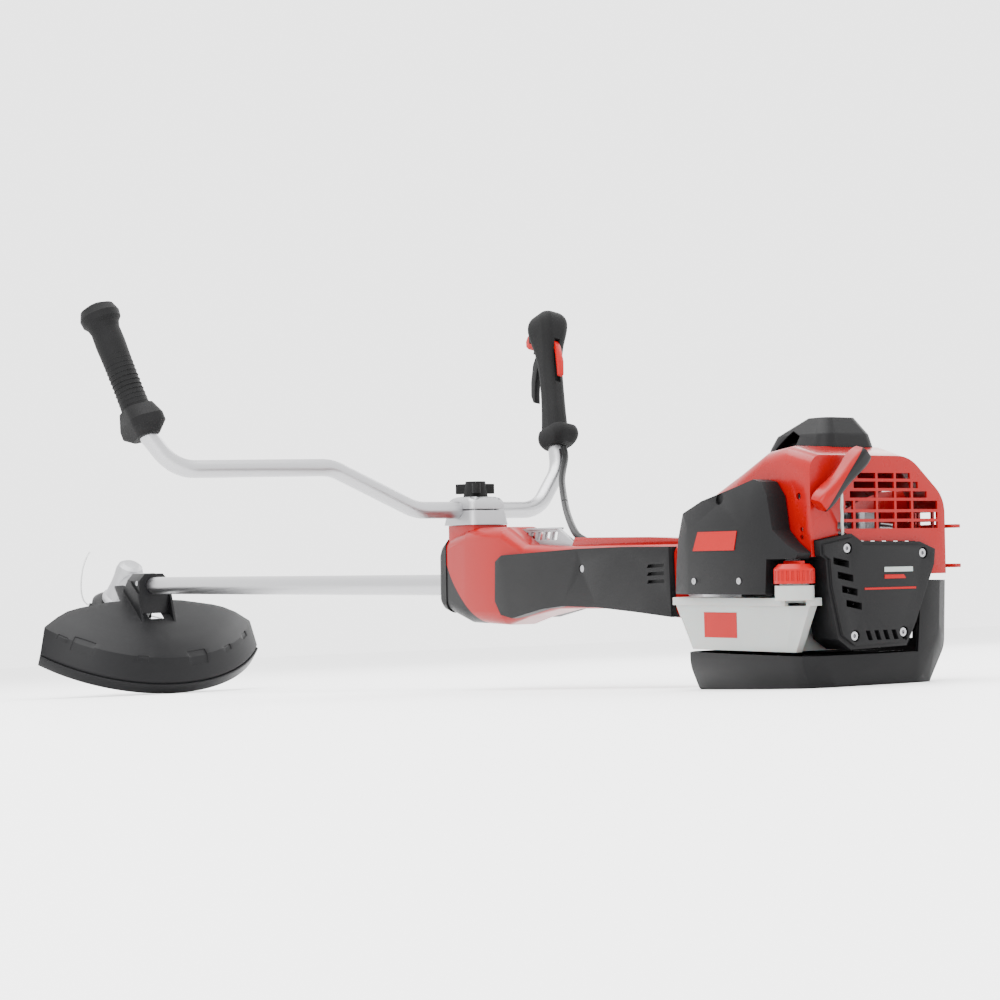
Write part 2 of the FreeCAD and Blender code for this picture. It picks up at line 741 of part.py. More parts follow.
def fuel_tank():
    rim = prism_z(tank_plan(2.5), -20, -12)
    plan0 = [V(x, y, -16) for x, y in tank_plan(0)]
    low = [(-84, -80), (-76, -88), (78, -88), (90, -86), (88, -76), (70, -74), (70, 50), (-84, 50)]
    low = [V(x, y, -68) for x, y in low]
    outer = Part.makeLoft([Part.makePolygon(plan0 + [plan0[0]]), Part.makePolygon(low + [low[0]])], True, True)
    k0 = [V(x * 0.965 + 0.6, y * 0.965 - 1, -17) for x, y in tank_plan(0)]
    k1 = [V(v.x * 0.965 + 0.6, v.y * 0.965 - 1, -65) for v in low]
    k0[5].y = k0[5].y - 5
    k1[5].y = k1[5].y - 5
    k0[4].y = k0[4].y - 5
    k1[4].y = k1[4].y - 5
    inner = Part.makeLoft([Part.makePolygon(k0 + [k0[0]]), Part.makePolygon(k1 + [k1[0]])], True, True)
    x, y = CAP
    neck = fuse([rod_z(NECK_R, x, y, -14, 14), rod_z(CAP_R - 1, x, y, -14, 1)])
    body = fuse([outer, rim])
    body = body.cut(inner)
    room = fuse([box(-60, 70, -46, 70, -46, 0), box(-110, -30, -62, 62, -62, 0)])
    body = fuse([body, neck])
    wall = fuse([box(-62, 72, -49, 70, -49, -12), box(-112, -27, -65, 65, -65, -12)])
    body = fuse([body, wall.common(prism_z(tank_plan(0), -60, -12))])
    return cut(body, [room, rod_z(NECK_R - 3, x, y, -20, 20)])


def fuel_cap():
    x, y = CAP
    ribs = [turned(rod_z(1.5, x + CAP_R + 0.4, y, 6, 16), (x, y, 0), (0, 0, 1), 15.0 * i) for i in range(24)]
    disc = fuse([rod_z(CAP_R, x, y, 3, 18), cone(CAP_R, CAP_R - 5, (x, y, 18), (x, y, 23))])
    grip = box(x - 13, x + 13, y - 3, y + 3, 22, 26)
    body = fuse([disc, grip]).cut(rod_z(NECK_R + FIT, x, y, 2, 14 + GAP))
    return cut(body, ribs)


def floor_cut():
    # everything under the floor plane, tilted so that it lies flat after stand()
    slab = box(-400, 400, -300, 300, -300, 0)
    slab.rotate(V(0, 0, 0), V(0, 1, 0), -STANCE)
    slab.translate(V(0, 0, FOOT_Z))
    return slab


def base_section_at(x, t, y0, y1, z0, z1):
    # wide at the rim and drawn in towards the floor
    pts = [V(x, y0 + 16 + t, z0 + t), V(x, y1 - 32 - t, z0 + t), V(x, y1 - 4 - t, z0 + 46 + t),
           V(x, y1 - t, z1), V(x, y0 + t, z1), V(x, y0 + 2 + t, z0 + 30 + t)]
    return corners_cut(pts, 8 - 0.5 * t)


def base_solid(t):
    z1 = 20 if t == 0 else 30
    s = [base_section_at(-106 + t, t, -64, 74, -100, z1),
         base_section_at(-86, t, -86, 98, -116, z1),
         base_section_at(10, t, -94, 118, -122, z1),
         base_section_at(92, t, -96, 120, -120, z1),
         base_section_at(106, t, -94, 112, -113, z1),
         base_section_at(116 - t, t, -78, 94, -100, z1)]
    return loft(s, True)


def base_shell():
    body = base_solid(0).cut(base_solid(4.0))
    left = prism_x([(-130, 30), (66, 30), (66, -4), (60, -71.5), (-130, -71.5)], -150, 150)
    body = body.cut(left)
    body = body.cut(box(-150, -40, -60, 64, -60, 40))
    body = body.cut(prism_x(plate_outline(0.4), 60, 150))
    body = body.cut(prism_z(tank_plan(3.2), -71.5, 40))
    body = body.cut(box(-150, 150, -150, 150, 3, 40))
    body = body.cut(floor_cut())
    floor = base_solid(0).common(box(-150, 150, -150, 150, -130, -104))
    floor = floor.cut(floor_cut())
    ribs = [box(x, x + 3, -60, 80, -108, -72).common(base_solid(1.0)) for x in (-50, -10, 30, 70)]
    vents = [box(-20 + 22 * i, -12 + 22 * i, 100, 130, -60, -20) for i in range(4)]
    body = fuse([body, floor] + [r.cut(floor_cut()) for r in ribs])
    return cut(body, vents)


def muffler_guard():
    plate = box(-52, 66, 108, 112, 8, 100)
    fins = [prism_z([(-40, 110), (100, 110), (118, 118), (118, 124), (90, 130), (-20, 130), (-40, 122)], z, z + 4)
            for z in (16, 58)]
    vents = [box(-44 + 18 * i, -34 + 18 * i, 104, 114, 24, 50) for i in range(6)]
    return cut(fuse([plate] + fins), vents)


def plate_outline(grow=0.0):
    g = grow
    return [(-80 - g, 46 + g), (-36, 53 + g), (-22, 45 + g), (60, 44 + g), (82 + g, 36 + g), (80 + g, 20),
            (52 + g, -40), (38 + g, -64 - g), (-40 - g, -66 - g), (-57 - g, -55 - g), (-70 - g, 0), (-72 - g, 27),
            (-79 - g, 31)]


def starter_housing():
    body = prism_x(plate_outline(), 84, PLATE_X)
    lip = prism_x(plate_outline(-4), PLATE_X, PLATE_X + 3)
    body = fuse([body, lip])
    hollow = fuse([rod_x(38, 88, 112), box(86, 90, -30, 30, -40, 30)])
    back = rod_x(40, 80, 88)
    post = rod_x(6, 88, 116)
    vents = []
    for i in range(4):
        z = 26 - 14.5 * i
        y = -64 + 5.5 * i
        vents.append(prism_x([(y, z - 4), (y + 21, z - 8), (y + 21, z - 1), (y, z + 3)], 108, 130))
    low = [prism_x([(-22 + 12 * i, -47), (-16 + 12 * i, -47), (-12 + 12 * i, -57), (-18 + 12 * i, -57)], 108, 130)
           for i in range(5)]
    holes = [rod_x(6, 118, 130, -44, 38), rod_x(6, 118, 130, -36, -52), rod_x(6, 118, 130, 62, 32),
             rod_x(6, 118, 130, 32, -50)]
    rope = Part.makeCylinder(3.0, 120, rope_point(-8), rope_unit())
    body = cut(body, [hollow, back] + vents + low + holes + [rope])
    return fuse([body, post])


def recoil_spring():
    coils = [ring(34 - 4 * i, 32.6 - 4 * i, (105, 0, 0), (111, 0, 0)) for i in range(5)]
    bridge = box(105, 111, -0.7, 0.7, 16.5, 33.5)
    return fuse(coils + [bridge])


def starter_pulley():
    r = ROPE_R
    body = revolve_x([(91, 6 + FIT), (91, r + 3), (94, r + 3), (96.2, r - 4), (101.8, r - 4), (103.2, r + 3),
                      (104.4, r + 3), (104.4, 6 + FIT)])
    coil = ring(r - 1.8, r - 4, (97, 0, 0), (101, 0, 0))
    dogs = [box(88.5, 91, -4, 4, 10, 18), box(88.5, 91, -4, 4, -18, -10)]
    return fuse([body, coil] + dogs)


def grip_frame(shape):
    # starter grip built along Y about the origin with the rope coming up +Z, then carried onto the rope line
    out = shape.copy()
    out.rotate(V(0, 0, 0), V(1, 0, 0), 47)
    out.rotate(V(0, 0, 0), V(0, 1, 0), 12)
    out.translate(rope_point(GRIP_S))
    return out


def starter_grip():
    bar = loft([section_y(-38, -9, 9, -8, 8, 5), section_y(-30, -11, 11, -9, 10, 6), section_y(0, -10, 10, -8, 8, 6),
                section_y(30, -11, 11, -9, 10, 6), section_y(38, -9, 9, -8, 8, 5)])
    g = grip_frame(bar)
    hole = Part.makeCylinder(1.75, 14, rope_point(GRIP_S - 16), rope_unit())
    return g.cut(hole)


def section_y(y, x0, x1, z0, z1, r):
    return rounded([V(x0, y, z0), V(x1, y, z0), V(x1, y, z1), V(x0, y, z1)], r)


def starter_rope():
    return Part.makeCylinder(1.75, GRIP_S - 2 - 24, rope_point(24), rope_unit())


# ---- handle housing ----
def housing_solid(t=0.0):
    # t > 0 gives the hollow inside, which runs out past both ends
    e = 0 if t == 0 else 8
    s = [section_x(-662 - e, -29 + t, 29 - t, -34 + t, 62 - t, 14 - t),
         section_x(-610, -33 + t, 33 - t, -48 + t, 74 - t, 16 - t),
         section_x(-530, -33 + t, 33 - t, -50 + t, 74 - t, 16 - t),
         section_x(-484, -30 + t, 30 - t, -39 + t, 51 - t, 13 - t),
         section_x(-420, -28 + t, 28 - t, -29 + t, 48 - t, 12 - t),
         section_x(-320, -27 + t, 27 - t, -28 + t, 48 - t, 12 - t),
         section_x(-178 + e, -29 + t, 29 - t, -38 + t, 47 - t, 13 - t)]
    return loft(s, True)


def clamp_pad():
    return box(BAR_X - 26, BAR_X + 34, -26, 26, 40, 78)


def main_housing():
    body = fuse([housing_solid(), clamp_pad()])
    hollow = housing_solid(3.0).cut(box(-700, -100, -19, 19, -19, 19))
    keep = box(BAR_X - 20, BAR_X + 20, -20, 20, 10, 78)
    hollow = hollow.cut(keep)
    hollow = hollow.cut(box(-700, -648, -100, 100, -100, 100))
    hollow = hollow.cut(box(-190, -100, -100, 100, -100, 100))
    stud = rod_z(6, BAR_X, 0, 70, BAR_Z - BAR_D / 2 - 0.8)
    body = cut(body, [hollow, rod_x(TUBE_D / 2, -800, -100)])
    body = fuse([body, stud])
    return body.cut(rail_blank(0.0))


def front_collar():
    s = [section_x(-682, -26, 26, -30, 50, 14), section_x(-676, -28, 28, -33, 56, 14),
         section_x(-662.0, -30, 30, -36, 64, 14)]
    return loft(s, True).cut(rod_x(TUBE_D / 2, -720, -650))


def side_plate(sign):
    pts = [(-536, 30), (-522, 38), (-359, 44), (-269, 45), (-181, 44), (-178, -36), (-243, -31), (-321, -26),
           (-392, -25), (-435, -29), (-500, -41), (-525, -37), (-538, -20)]
    y0, y1 = sorted((sign * 10, sign * 37))
    plate = prism_y(pts, y0, y1).cut(housing_solid())
    vents = []
    for i in range(3):
        z = 20 - 9 * i
        a, b = sorted((sign * 40, sign * 32.5))
        vents.append(prism_y([(-222, z), (-190, z + 1), (-190, z + 5), (-219, z + 4)], a, b))
    a, b = sorted((sign * 40, sign * 33))
    vents.append(rod_y(5, -350, 20, a, b))
    return cut(plate, vents)


def rail_blank(t):
    pts = [(-562, 44), (-553, 66), (-546, 71), (-446, 71), (-438, 66), (-412, 52), (-408, 44)]
    return prism_y(pts, -2.5 - t, 2.5 + t)


def harness_rail():
    body = rail_blank(0)
    slots = []
    for i in range(6):
        x = -540 + 16 * i
        slots.append(prism_y([(x, 56), (x + 11, 56), (x + 14, 66), (x + 3, 66)], -4, 4))
    flange = [box(-508, -446, -7, 7, 69, 71.5)]
    return cut(fuse([body] + flange), slots)


def top_spine():
    pts = [(-404, 44), (-396, 58), (-250, 56), (-180, 53), (-180, 44)]
    body = prism_y(pts, -13, 13).cut(housing_solid())
    return body.cut(sweep(cable_points(), 5.2))


# ---- handlebar ----
def lean(y, z):
    return (BAR_X - (z - BAR_Z) * math.tan(math.radians(BAR_LEAN)), y * BAR_SCALE, z)


LEFT_PATH = [(-92, 98), (-205, 153), (-424, 149), (-454, 194), (-486, 330)]
RIGHT_PATH = [(98, 98), (147, 152), (154.5, 194), (181, 334)]
BAR_BEND = 52.0


def bar_points():
    pts = [lean(y, z) for y, z in reversed(LEFT_PATH)]
    return pts + [lean(y, z) for y, z in RIGHT_PATH]


def bar_solid(r):
    return pipe(bar_points(), BAR_BEND, r)


def handlebar_tube():
    return bar_solid(BAR_D / 2).cut(bar_solid(BAR_D / 2 - 2))


def clamp_base():
    z = BAR_Z
    body = loft([section_z(78 + GAP, BAR_X - 36, BAR_X + 36, -30, 30, 9),
                 section_z(z - 1, BAR_X - 32, BAR_X + 32, -27, 27, 8)])
    holes = [rod_y(BAR_D / 2 + FIT, BAR_X, z, -50, 50), rod_z(6 + FIT, BAR_X, 0, 70, 100)]
    bolts = [rod_z(3, BAR_X + sx * 23, sy * 17, 84, 110) for sx in (-1, 1) for sy in (-1, 1)]
    return cut(body, holes + bolts)


def clamp_cap():
    z = BAR_Z
    body = loft([section_z(z + 1, BAR_X - 32, BAR_X + 32, -27, 27, 8),
                 section_z(z + 12, BAR_X - 29, BAR_X + 29, -26, 26, 8),
                 section_z(z + 17, BAR_X - 20, BAR_X + 20, -20, 20, 8)])
    holes = [rod_y(BAR_D / 2 + FIT, BAR_X, z, -50, 50), rod_z(4 + FIT, BAR_X, 0, 90, 140)]
    bolts = [rod_z(3, BAR_X + sx * 23, sy * 17, 84, 140) for sx in (-1, 1) for sy in (-1, 1)]
    pocket = [rod_z(5.4, BAR_X + sx * 23, sy * 17, z + 8, z + 30) for sx in (-1, 1) for sy in (-1, 1)]
    return cut(body, holes + bolts + pocket)


def clamp_bolts():
    z = BAR_Z
    out = []
    for sx in (-1, 1):
        for sy in (-1, 1):
            x = BAR_X + sx * 23
            y = sy * 17
            out.append(fuse([rod_z(3, x, y, 84.5, z + 9), rod_z(5, x, y, z + 8, z + 13)]))
    return Part.makeCompound(out)


def clamp_top():
    return Part.makeCompound([clamp_cap(), clamp_bolts()])


def clamp_knob():
    z0 = BAR_Z + 17 + GAP
    hub = cone(16, 13, (BAR_X, 0, z0), (BAR_X, 0, z0 + 20))
    wings = []
    for i in range(3):
        w = box(BAR_X + 6, BAR_X + 23, -5.5, 5.5, z0 + 4, z0 + 17)
        tip = rod_z(5.5, BAR_X + 23, 0, z0 + 4, z0 + 17)
        wings.append(turned(fuse([w, tip]), (BAR_X, 0, 0), (0, 0, 1), 90 + 120 * i))
    stud = rod_z(4, BAR_X, 0, BAR_Z + 11.6, z0 + 6)
    return fuse([hub, stud] + wings)


def grip_axis(side):
    if side < 0:
        base = V(*lean(-454, 194))
        top = V(*lean(-492, 355))
    else:
        base = V(*lean(154.5, 194))
        top = V(*lean(188, 371))
    w = top - base
    w = w * (1.0 / w.Length)
    f = V(-1, 0, 0)
    f = f - w * (f.dot(w))
    f = f * (1.0 / f.Length)
    s = w.cross(f)
    return base, f, s, w


def grip_place(shape, side):
    base, f, s, w = grip_axis(side)
    m = FreeCAD.Matrix(f.x, s.x, w.x, base.x, f.y, s.y, w.y, base.y, f.z, s.z, w.z, base.z, 0, 0, 0, 1)
    return placed(shape, m)


def placed(shape, m):
    out = shape.copy()
    out.Placement = FreeCAD.Placement(m).multiply(out.Placement)
    return out


def left_grip():
    sleeve = revolve_z([(0, 14), (19, 14), (18, 30), (17, 60), (17.5, 90), (18.5, 120), (18, 138), (20, 145),
                        (24, 150), (25, 158), (21, 168), (12, 172), (0, 173)])
    collar = loft([section_z(-6, -16, 18, -15, 15, 10), section_z(4, -31, 31, -22, 22, 14),
                   section_z(14, -31, 30, -22, 22, 14), section_z(32, -20, 20, -19, 19, 12)], True)
    collar = cut(collar, [rod_y(3.2, 24, 6, -40, 40)])
    g = grip_place(fuse([sleeve, collar]), -1)
    return g.cut(bar_solid(BAR_D / 2))


def right_grip():
    stem = loft([section_z(0, -18, 18, -17, 17, 12), section_z(14, -17, 17, -16, 16, 12),
                 section_z(60, -16, 14, -15, 15, 12), section_z(120, -16, 16, -16, 16, 12),
                 section_z(150, -22, 22, -19, 19, 12), section_z(180, -25, 23, -21, 21, 12),
                 section_z(188, -20, 19, -16, 16, 10)])
    flange = loft([section_z(-12, -24, 14, -15, 15, 10), section_z(-1, -33, 20, -20, 20, 12),
                   section_z(12, -31, 19, -19, 19, 12)])
    body = fuse([stem, flange])
    tools = [box(12, 50, -5, 5, 60, 146), box(-40, -11.3, -4.5, 4.5, 82, 146), box(20.5, 50, -10, 10, 148.4, 175.6)]
    body = cut(body, tools)
    pins = [rod_y(2, 18, 138, -12, 12), rod_y(2, -14, 140, -12, 12), rod_y(1.5, 24, 162, -13, 13)]
    ears = [box(16, 27, sy * 11.6 - 1.2, sy * 11.6 + 1.2, 157, 167) for sy in (-1, 1)]
    body = fuse([body] + pins + ears)
    g = grip_place(body, 1)
    return g.cut(bar_solid(BAR_D / 2))


def throttle_trigger():
    lever = prism_y([(15, 142), (22, 142), (33, 128), (40, 104), (42, 84), (38, 72), (34, 70), (33, 84), (30, 100),
                     (24, 116), (15.5, 128)], -4.6, 4.6)
    eye = rod_y(2 + FIT, 18, 138, -10, 10)
    return grip_place(lever.cut(eye), 1)


def lockout_lever():
    lever = prism_y([(-12.5, 144), (-17, 144), (-22, 134), (-26, 110), (-24, 90), (-20, 88), (-19.5, 108),
                     (-18, 130), (-13, 133)], -4.1, 4.1)
    eye = rod_y(2 + FIT, -14, 140, -10, 10)
    return grip_place(lever.cut(eye), 1)


def stop_switch():
    body = prism_y([(22.5, 171), (22.5, 153), (34, 152), (39, 158), (39, 166), (34, 172)], -9, 9)
    eye = rod_y(1.5 + FIT, 24, 162, -14, 14)
    relief = [box(20, 24.3, -12, 12, 150, 158), box(20, 24.3, -12, 12, 166, 173)]
    return grip_place(cut(body, [eye] + relief), 1)


def cable_points():
    base, f, _, w = grip_axis(1)
    p0 = base - f * 16.5 - w * 17
    p1 = base - f * 18 - w * 34
    return [(p0.x, p0.y, p0.z), (p1.x, p1.y, p1.z), (-610, 122, 138), (-548, 82, 104), (-482, 42, 80), (-426, 12, 62),
            (-392, 2, 53)]


def throttle_cable():
    return sweep(cable_points(), 4.6)


def shell_screws():
    out = []
    for y, z in ((-44, 38), (-36, -52), (62, 32), (32, -50)):
        out.append(rod_x(4.5, 118, 123.5, y, z).cut(rod_x(2, 121, 125, y, z)))
    for s in (-1, 1):
        y0, y1 = sorted((s * 33, s * 36))
        out.append(rod_y(4.2, -350, 20, y0, y1))
    out.append(gearbox_bolts())
    return Part.makeCompound(out)


def build():
    os.makedirs(OUT, exist_ok=True)
    save("shaft_tube", shaft_tube())
    save("shaft_bushes", shaft_bushes())
    save("drive_shaft", drive_shaft())
    save("clutch_drum", clutch_drum())
    save("bevel_pinion", bevel_pinion())
    save("gearbox_housing", gearbox_housing())
    save("gearbox_bearings", gearbox_bearings())
    save("output_shaft", output_shaft())
    save("trimmer_head", trimmer_head())
    save("line_spool", line_spool())
    save("trimmer_line", trimmer_line())
    save("bump_knob", bump_knob())
    save("cutting_guard", cutting_guard())
    save("guard_bracket", guard_bracket())
    save("guard_skirt", guard_skirt())
    save("line_cutter", line_cutter())
    save("clutch_housing", clutch_housing())
    save("crankcase", crankcase())
    save("crank_bearings", crank_bearings())
    save("crankshaft", crankshaft())
    save("flywheel", flywheel())
    save("clutch_shoes", clutch_shoes())
    save("cylinder", cylinder())
    save("piston", piston())
    save("ignition_coil", ignition_coil())
    save("spark_plug", spark_plug())
    save("plug_boot", plug_boot())
    save("intake_manifold", intake_manifold())
    save("carburetor", carburetor())
    save("air_filter", air_filter())
    save("air_filter_cover", air_filter_cover())
    save("muffler", muffler())
    save("muffler_guard", muffler_guard())
    save("engine_shroud", engine_shroud())
    save("top_hood", top_hood())
    save("fuel_tank", fuel_tank())
    save("fuel_cap", fuel_cap())
    save("base_shell", base_shell())
    save("starter_housing", starter_housing())
    save("recoil_spring", recoil_spring())
    save("starter_pulley", starter_pulley())
    save("starter_grip", starter_grip())
    save("starter_rope", starter_rope())
    save("main_housing", main_housing())
    save("front_collar", front_collar())
    save("side_cover_left", side_plate(-1))
    save("side_cover_right", side_plate(1))
    save("harness_rail", harness_rail())
    save("top_spine", top_spine())
    save("handlebar_tube", handlebar_tube())
    save("clamp_base", clamp_base())
    save("clamp_cap", clamp_top())
    save("clamp_knob", clamp_knob())
    save("left_grip", left_grip())
    save("right_grip", right_grip())
    save("throttle_trigger", throttle_trigger())
    save("lockout_lever", lockout_lever())
    save("stop_switch", stop_switch())
    save("throttle_cable", throttle_cable())
    save("shell_screws", shell_screws())


build()
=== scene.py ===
# %% [markdown]
# # A brush cutter laid on the floor
#
# The machine has a petrol engine at one end of a long straight tube and a nylon line head under a guard
# at the other, with a bicycle handlebar between them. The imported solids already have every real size,
# so this lesson only dresses them: rounded edges on moulded shells, small repeated parts, finishes,
# light and a camera.

# %% Load the fixed frame
import json
import math

import bmesh
import bpy
from mathutils import Matrix, Vector


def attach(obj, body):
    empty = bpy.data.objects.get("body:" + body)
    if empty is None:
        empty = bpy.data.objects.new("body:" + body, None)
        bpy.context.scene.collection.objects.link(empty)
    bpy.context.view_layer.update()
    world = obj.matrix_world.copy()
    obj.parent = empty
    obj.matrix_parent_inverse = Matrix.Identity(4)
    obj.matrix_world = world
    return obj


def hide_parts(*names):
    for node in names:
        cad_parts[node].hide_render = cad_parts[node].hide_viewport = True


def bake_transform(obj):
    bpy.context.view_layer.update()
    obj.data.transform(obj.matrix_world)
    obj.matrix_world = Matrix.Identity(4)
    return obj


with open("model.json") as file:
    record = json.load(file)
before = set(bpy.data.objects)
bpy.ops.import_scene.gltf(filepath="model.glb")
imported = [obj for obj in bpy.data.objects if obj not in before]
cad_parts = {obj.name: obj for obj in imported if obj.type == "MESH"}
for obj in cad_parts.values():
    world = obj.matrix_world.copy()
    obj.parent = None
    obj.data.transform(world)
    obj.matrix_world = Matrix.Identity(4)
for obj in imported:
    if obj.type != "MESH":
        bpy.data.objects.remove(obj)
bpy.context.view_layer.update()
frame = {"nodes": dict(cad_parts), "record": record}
nodes = frame["nodes"]
record = frame["record"]
joints = {joint["name"]: joint for joint in record["behaviour"]["joints"]}
slot_of = {part["node"]: part["material_slot"] for part in record["subparts"]}
body_of = {name: body for body, names in record["behaviour"]["bodies"].items() for name in names}

# %% [markdown]
# ## A drawing frame along the shaft
#
# The machine lies tilted, because the guard is deeper than the engine foot. We could place every small
# part in the tilted frame, but it is easier to think in the frame the machine was drawn in: X along the
# shaft towards the engine, Y to the operator's right, Z square to the shaft, in millimetres from the crank
# axis. Two joint axes and the crank's centre say how that frame lies, so its tilt isn't typed in here.

# %% Shaft frame
MM = 0.001
SHAFT_X = Vector(joints["drive_spin"]["axis"]).normalized()
SHAFT_Z = Vector(joints["bar_swivel"]["axis"]).normalized()
SHAFT_Y = SHAFT_Z.cross(SHAFT_X)
SHAFT_ORIGIN = Vector(joints["crank_spin"]["pos_m"])
SHAFT_FRAME = Matrix.Translation(SHAFT_ORIGIN) @ Matrix((SHAFT_X, SHAFT_Y, SHAFT_Z)).transposed().to_4x4()


def at(x, y, z):
    return SHAFT_FRAME @ (Vector((x, y, z)) * MM)


print("shaft rises by", round(math.degrees(math.asin(-SHAFT_X.z)), 2), "degrees towards the cutting head")

# %% [markdown]
# ## Camera
#
# A long lens looks from behind the engine, on the operator's left, almost level with the shaft. A camera
# can be aimed by a Track To constraint at a target, but then its roll is hard to set. Placing it by its
# heading, height and roll keeps those three easy to change one at a time.

# %% Camera
HEADING = math.radians(56.1)
PITCH = math.radians(1.5)
ROLL = math.radians(1.0)
EYE_MM = Vector((1880.2, -1651.1, 31.9))
LENS_MM = 82.8
SENSOR_MM = 36


def add_object(name, data):
    obj = bpy.data.objects.new(name, data)
    bpy.context.collection.objects.link(obj)
    return obj


def camera_axes(heading, pitch, roll):
    level = math.cos(pitch)
    look = Vector((-math.sin(heading) * level, math.cos(heading) * level, math.sin(pitch)))
    right = Vector((math.cos(heading), math.sin(heading), 0))
    up = right.cross(look)
    rolled_right = right * math.cos(roll) - up * math.sin(roll)
    rolled_up = right * math.sin(roll) + up * math.cos(roll)
    return Matrix((rolled_right, rolled_up, -look)).transposed().to_4x4()


camera = add_object("camera", bpy.data.cameras.new("camera"))
camera.data.lens = LENS_MM
camera.data.sensor_width = SENSOR_MM
camera.data.clip_start = 0.05
camera.data.clip_end = 60
camera.matrix_world = SHAFT_FRAME @ (Matrix.Translation(EYE_MM * MM) @ camera_axes(HEADING, PITCH, ROLL))
bpy.context.scene.camera = camera
print("camera stands", round((camera.matrix_world.translation - SHAFT_ORIGIN).length, 2), "m from the engine")

# %% [markdown]
# ## Shader maths as plain Python
#
# A node tree is easier to read as an expression. This small class wraps one socket, so `noise * 0.2 + 0.5`
# adds the Math nodes for us. Every other node comes from `add_node`, which applies its settings first
# and then fills each input with a number or a link.

# %% Shader helper
class Socket:
    def __init__(self, tree, socket):
        self.tree = tree
        self.socket = socket

    def math(self, operation, a, b):
        return add_node(self.tree, "ShaderNodeMath", {"operation": operation}, {0: a, 1: b})[0]

    def __add__(self, other):
        return self.math("ADD", self, other)

    def __radd__(self, other):
        return self.math("ADD", other, self)

    def __sub__(self, other):
        return self.math("SUBTRACT", self, other)

    def __rsub__(self, other):
        return self.math("SUBTRACT", other, self)

    def __mul__(self, other):
        return self.math("MULTIPLY", self, other)

    def __rmul__(self, other):
        return self.math("MULTIPLY", other, self)

    def above(self, other):
        return self.math("GREATER_THAN", self, other)


def add_node(tree, kind, settings, inputs):
    node = tree.nodes.new(kind)
    for name, value in settings.items():
        setattr(node, name, value)
    for key, value in inputs.items():
        if isinstance(value, Socket):
            tree.links.new(value.socket, node.inputs[key])
        else:
            node.inputs[key].default_value = value
    return [Socket(tree, output) for output in node.outputs]


# %% [markdown]
# ## Tools for a finish
#
# Each finish is a Principled shader. What is the same all over the surface goes straight on its own input,
# and what changes over the surface comes from noise in object coordinates, because they stay with the
# piece when a joint moves it. Two colours are mixed by a Mix node, since a Math node would turn them grey.

# %% Finish tools
# a Mix node has sockets for numbers, vectors and colours side by side, and these are the colour ones
MIX_FACTOR, MIX_FIRST_COLOUR, MIX_SECOND_COLOUR, MIX_RESULT_COLOUR = 0, 6, 7, 2
OBJECT_OUTPUT = 3


def finish_of(name, color, roughness, metallic=0.0, **constants):
    material = bpy.data.materials.new(name)
    material.use_nodes = True
    shader = material.node_tree.nodes["Principled BSDF"]
    shader.inputs["Base Color"].default_value = (*color, 1.0)
    shader.inputs["Roughness"].default_value = roughness
    shader.inputs["Metallic"].default_value = metallic
    for key, value in constants.items():
        shader.inputs[key.replace("_", " ")].default_value = value
    return material, material.node_tree, shader


def object_point(tree):
    return add_node(tree, "ShaderNodeTexCoord", {}, {})[OBJECT_OUTPUT]


def noise(tree, scale, detail=3.0, stretch=(1, 1, 1)):
    point = add_node(tree, "ShaderNodeMapping", {}, {"Vector": object_point(tree), "Scale": stretch})[0]
    return add_node(tree, "ShaderNodeTexNoise", {}, {"Vector": point, "Scale": scale, "Detail": detail})[0]


def link(tree, socket, shader, name):
    tree.links.new(socket.socket, shader.inputs[name])


def bump(tree, shader, height, distance, strength):
    inputs = {"Height": height, "Distance": distance, "Strength": strength}
    link(tree, add_node(tree, "ShaderNodeBump", {}, inputs)[0], shader, "Normal")


def mottle(tree, mask, dark, light):
    inputs = {MIX_FACTOR: mask, MIX_FIRST_COLOUR: (*dark, 1.0), MIX_SECOND_COLOUR: (*light, 1.0)}
    return add_node(tree, "ShaderNodeMix", {"data_type": "RGBA"}, inputs)[MIX_RESULT_COLOUR]


# %% [markdown]
# ## Plastics and rubber
#
# Moulded red plastic is glossy with a faint ripple left by the mould. Moulded black plastic carries a fine
# grain that breaks up its highlights, and the grips' rubber has a finer one and hardly any gloss. The
# fuel tank is milky polyethylene that lets a little light in. An image texture could show the grain, but
# noise has no seams and needs no unwrapping.

# %% Plastic finishes
RED = (0.20, 0.0002, 0.0006)
BLACK = (0.0022, 0.0022, 0.0025)


def red_plastic():
    material, tree, shader = finish_of("shell_red", RED, 0.28, Specular_IOR_Level=0.18,
                                       Coat_Weight=0.08, Coat_Roughness=0.12)
    ripple = noise(tree, 55, 2.0)
    link(tree, ripple * 0.08 + 0.24, shader, "Roughness")
    bump(tree, shader, ripple, 0.0002, 0.5)
    return material


def grained_plastic(name, color, roughness, grain=900, depth=0.00025):
    material, tree, shader = finish_of(name, color, roughness, Specular_IOR_Level=0.14)
    fine = noise(tree, grain, 2.0)
    broad = noise(tree, 14)
    lighter = tuple(c * 1.35 + 0.0004 for c in color)
    link(tree, mottle(tree, broad, color, lighter), shader, "Base Color")
    link(tree, broad * 0.12 + (roughness - 0.06), shader, "Roughness")
    bump(tree, shader, fine, depth, 0.6)
    return material


def soft_rubber():
    material, tree, shader = finish_of("soft_grip", (0.0028, 0.0028, 0.003), 0.72, Specular_IOR_Level=0.14)
    fine = noise(tree, 1400, 2.0)
    link(tree, noise(tree, 30) * 0.2 + 0.6, shader, "Roughness")
    bump(tree, shader, fine, 0.0003, 0.7)
    return material


def tank_plastic():
    material, tree, shader = finish_of("tank_white", (0.26, 0.27, 0.26), 0.38, Specular_IOR_Level=0.3,
                                       Subsurface_Weight=0.25, Subsurface_Scale=0.01)
    cloud = noise(tree, 18, 4.0)
    link(tree, mottle(tree, cloud, (0.23, 0.24, 0.23), (0.29, 0.30, 0.29)), shader, "Base Color")
    bump(tree, shader, cloud, 0.0004, 0.4)
    return material


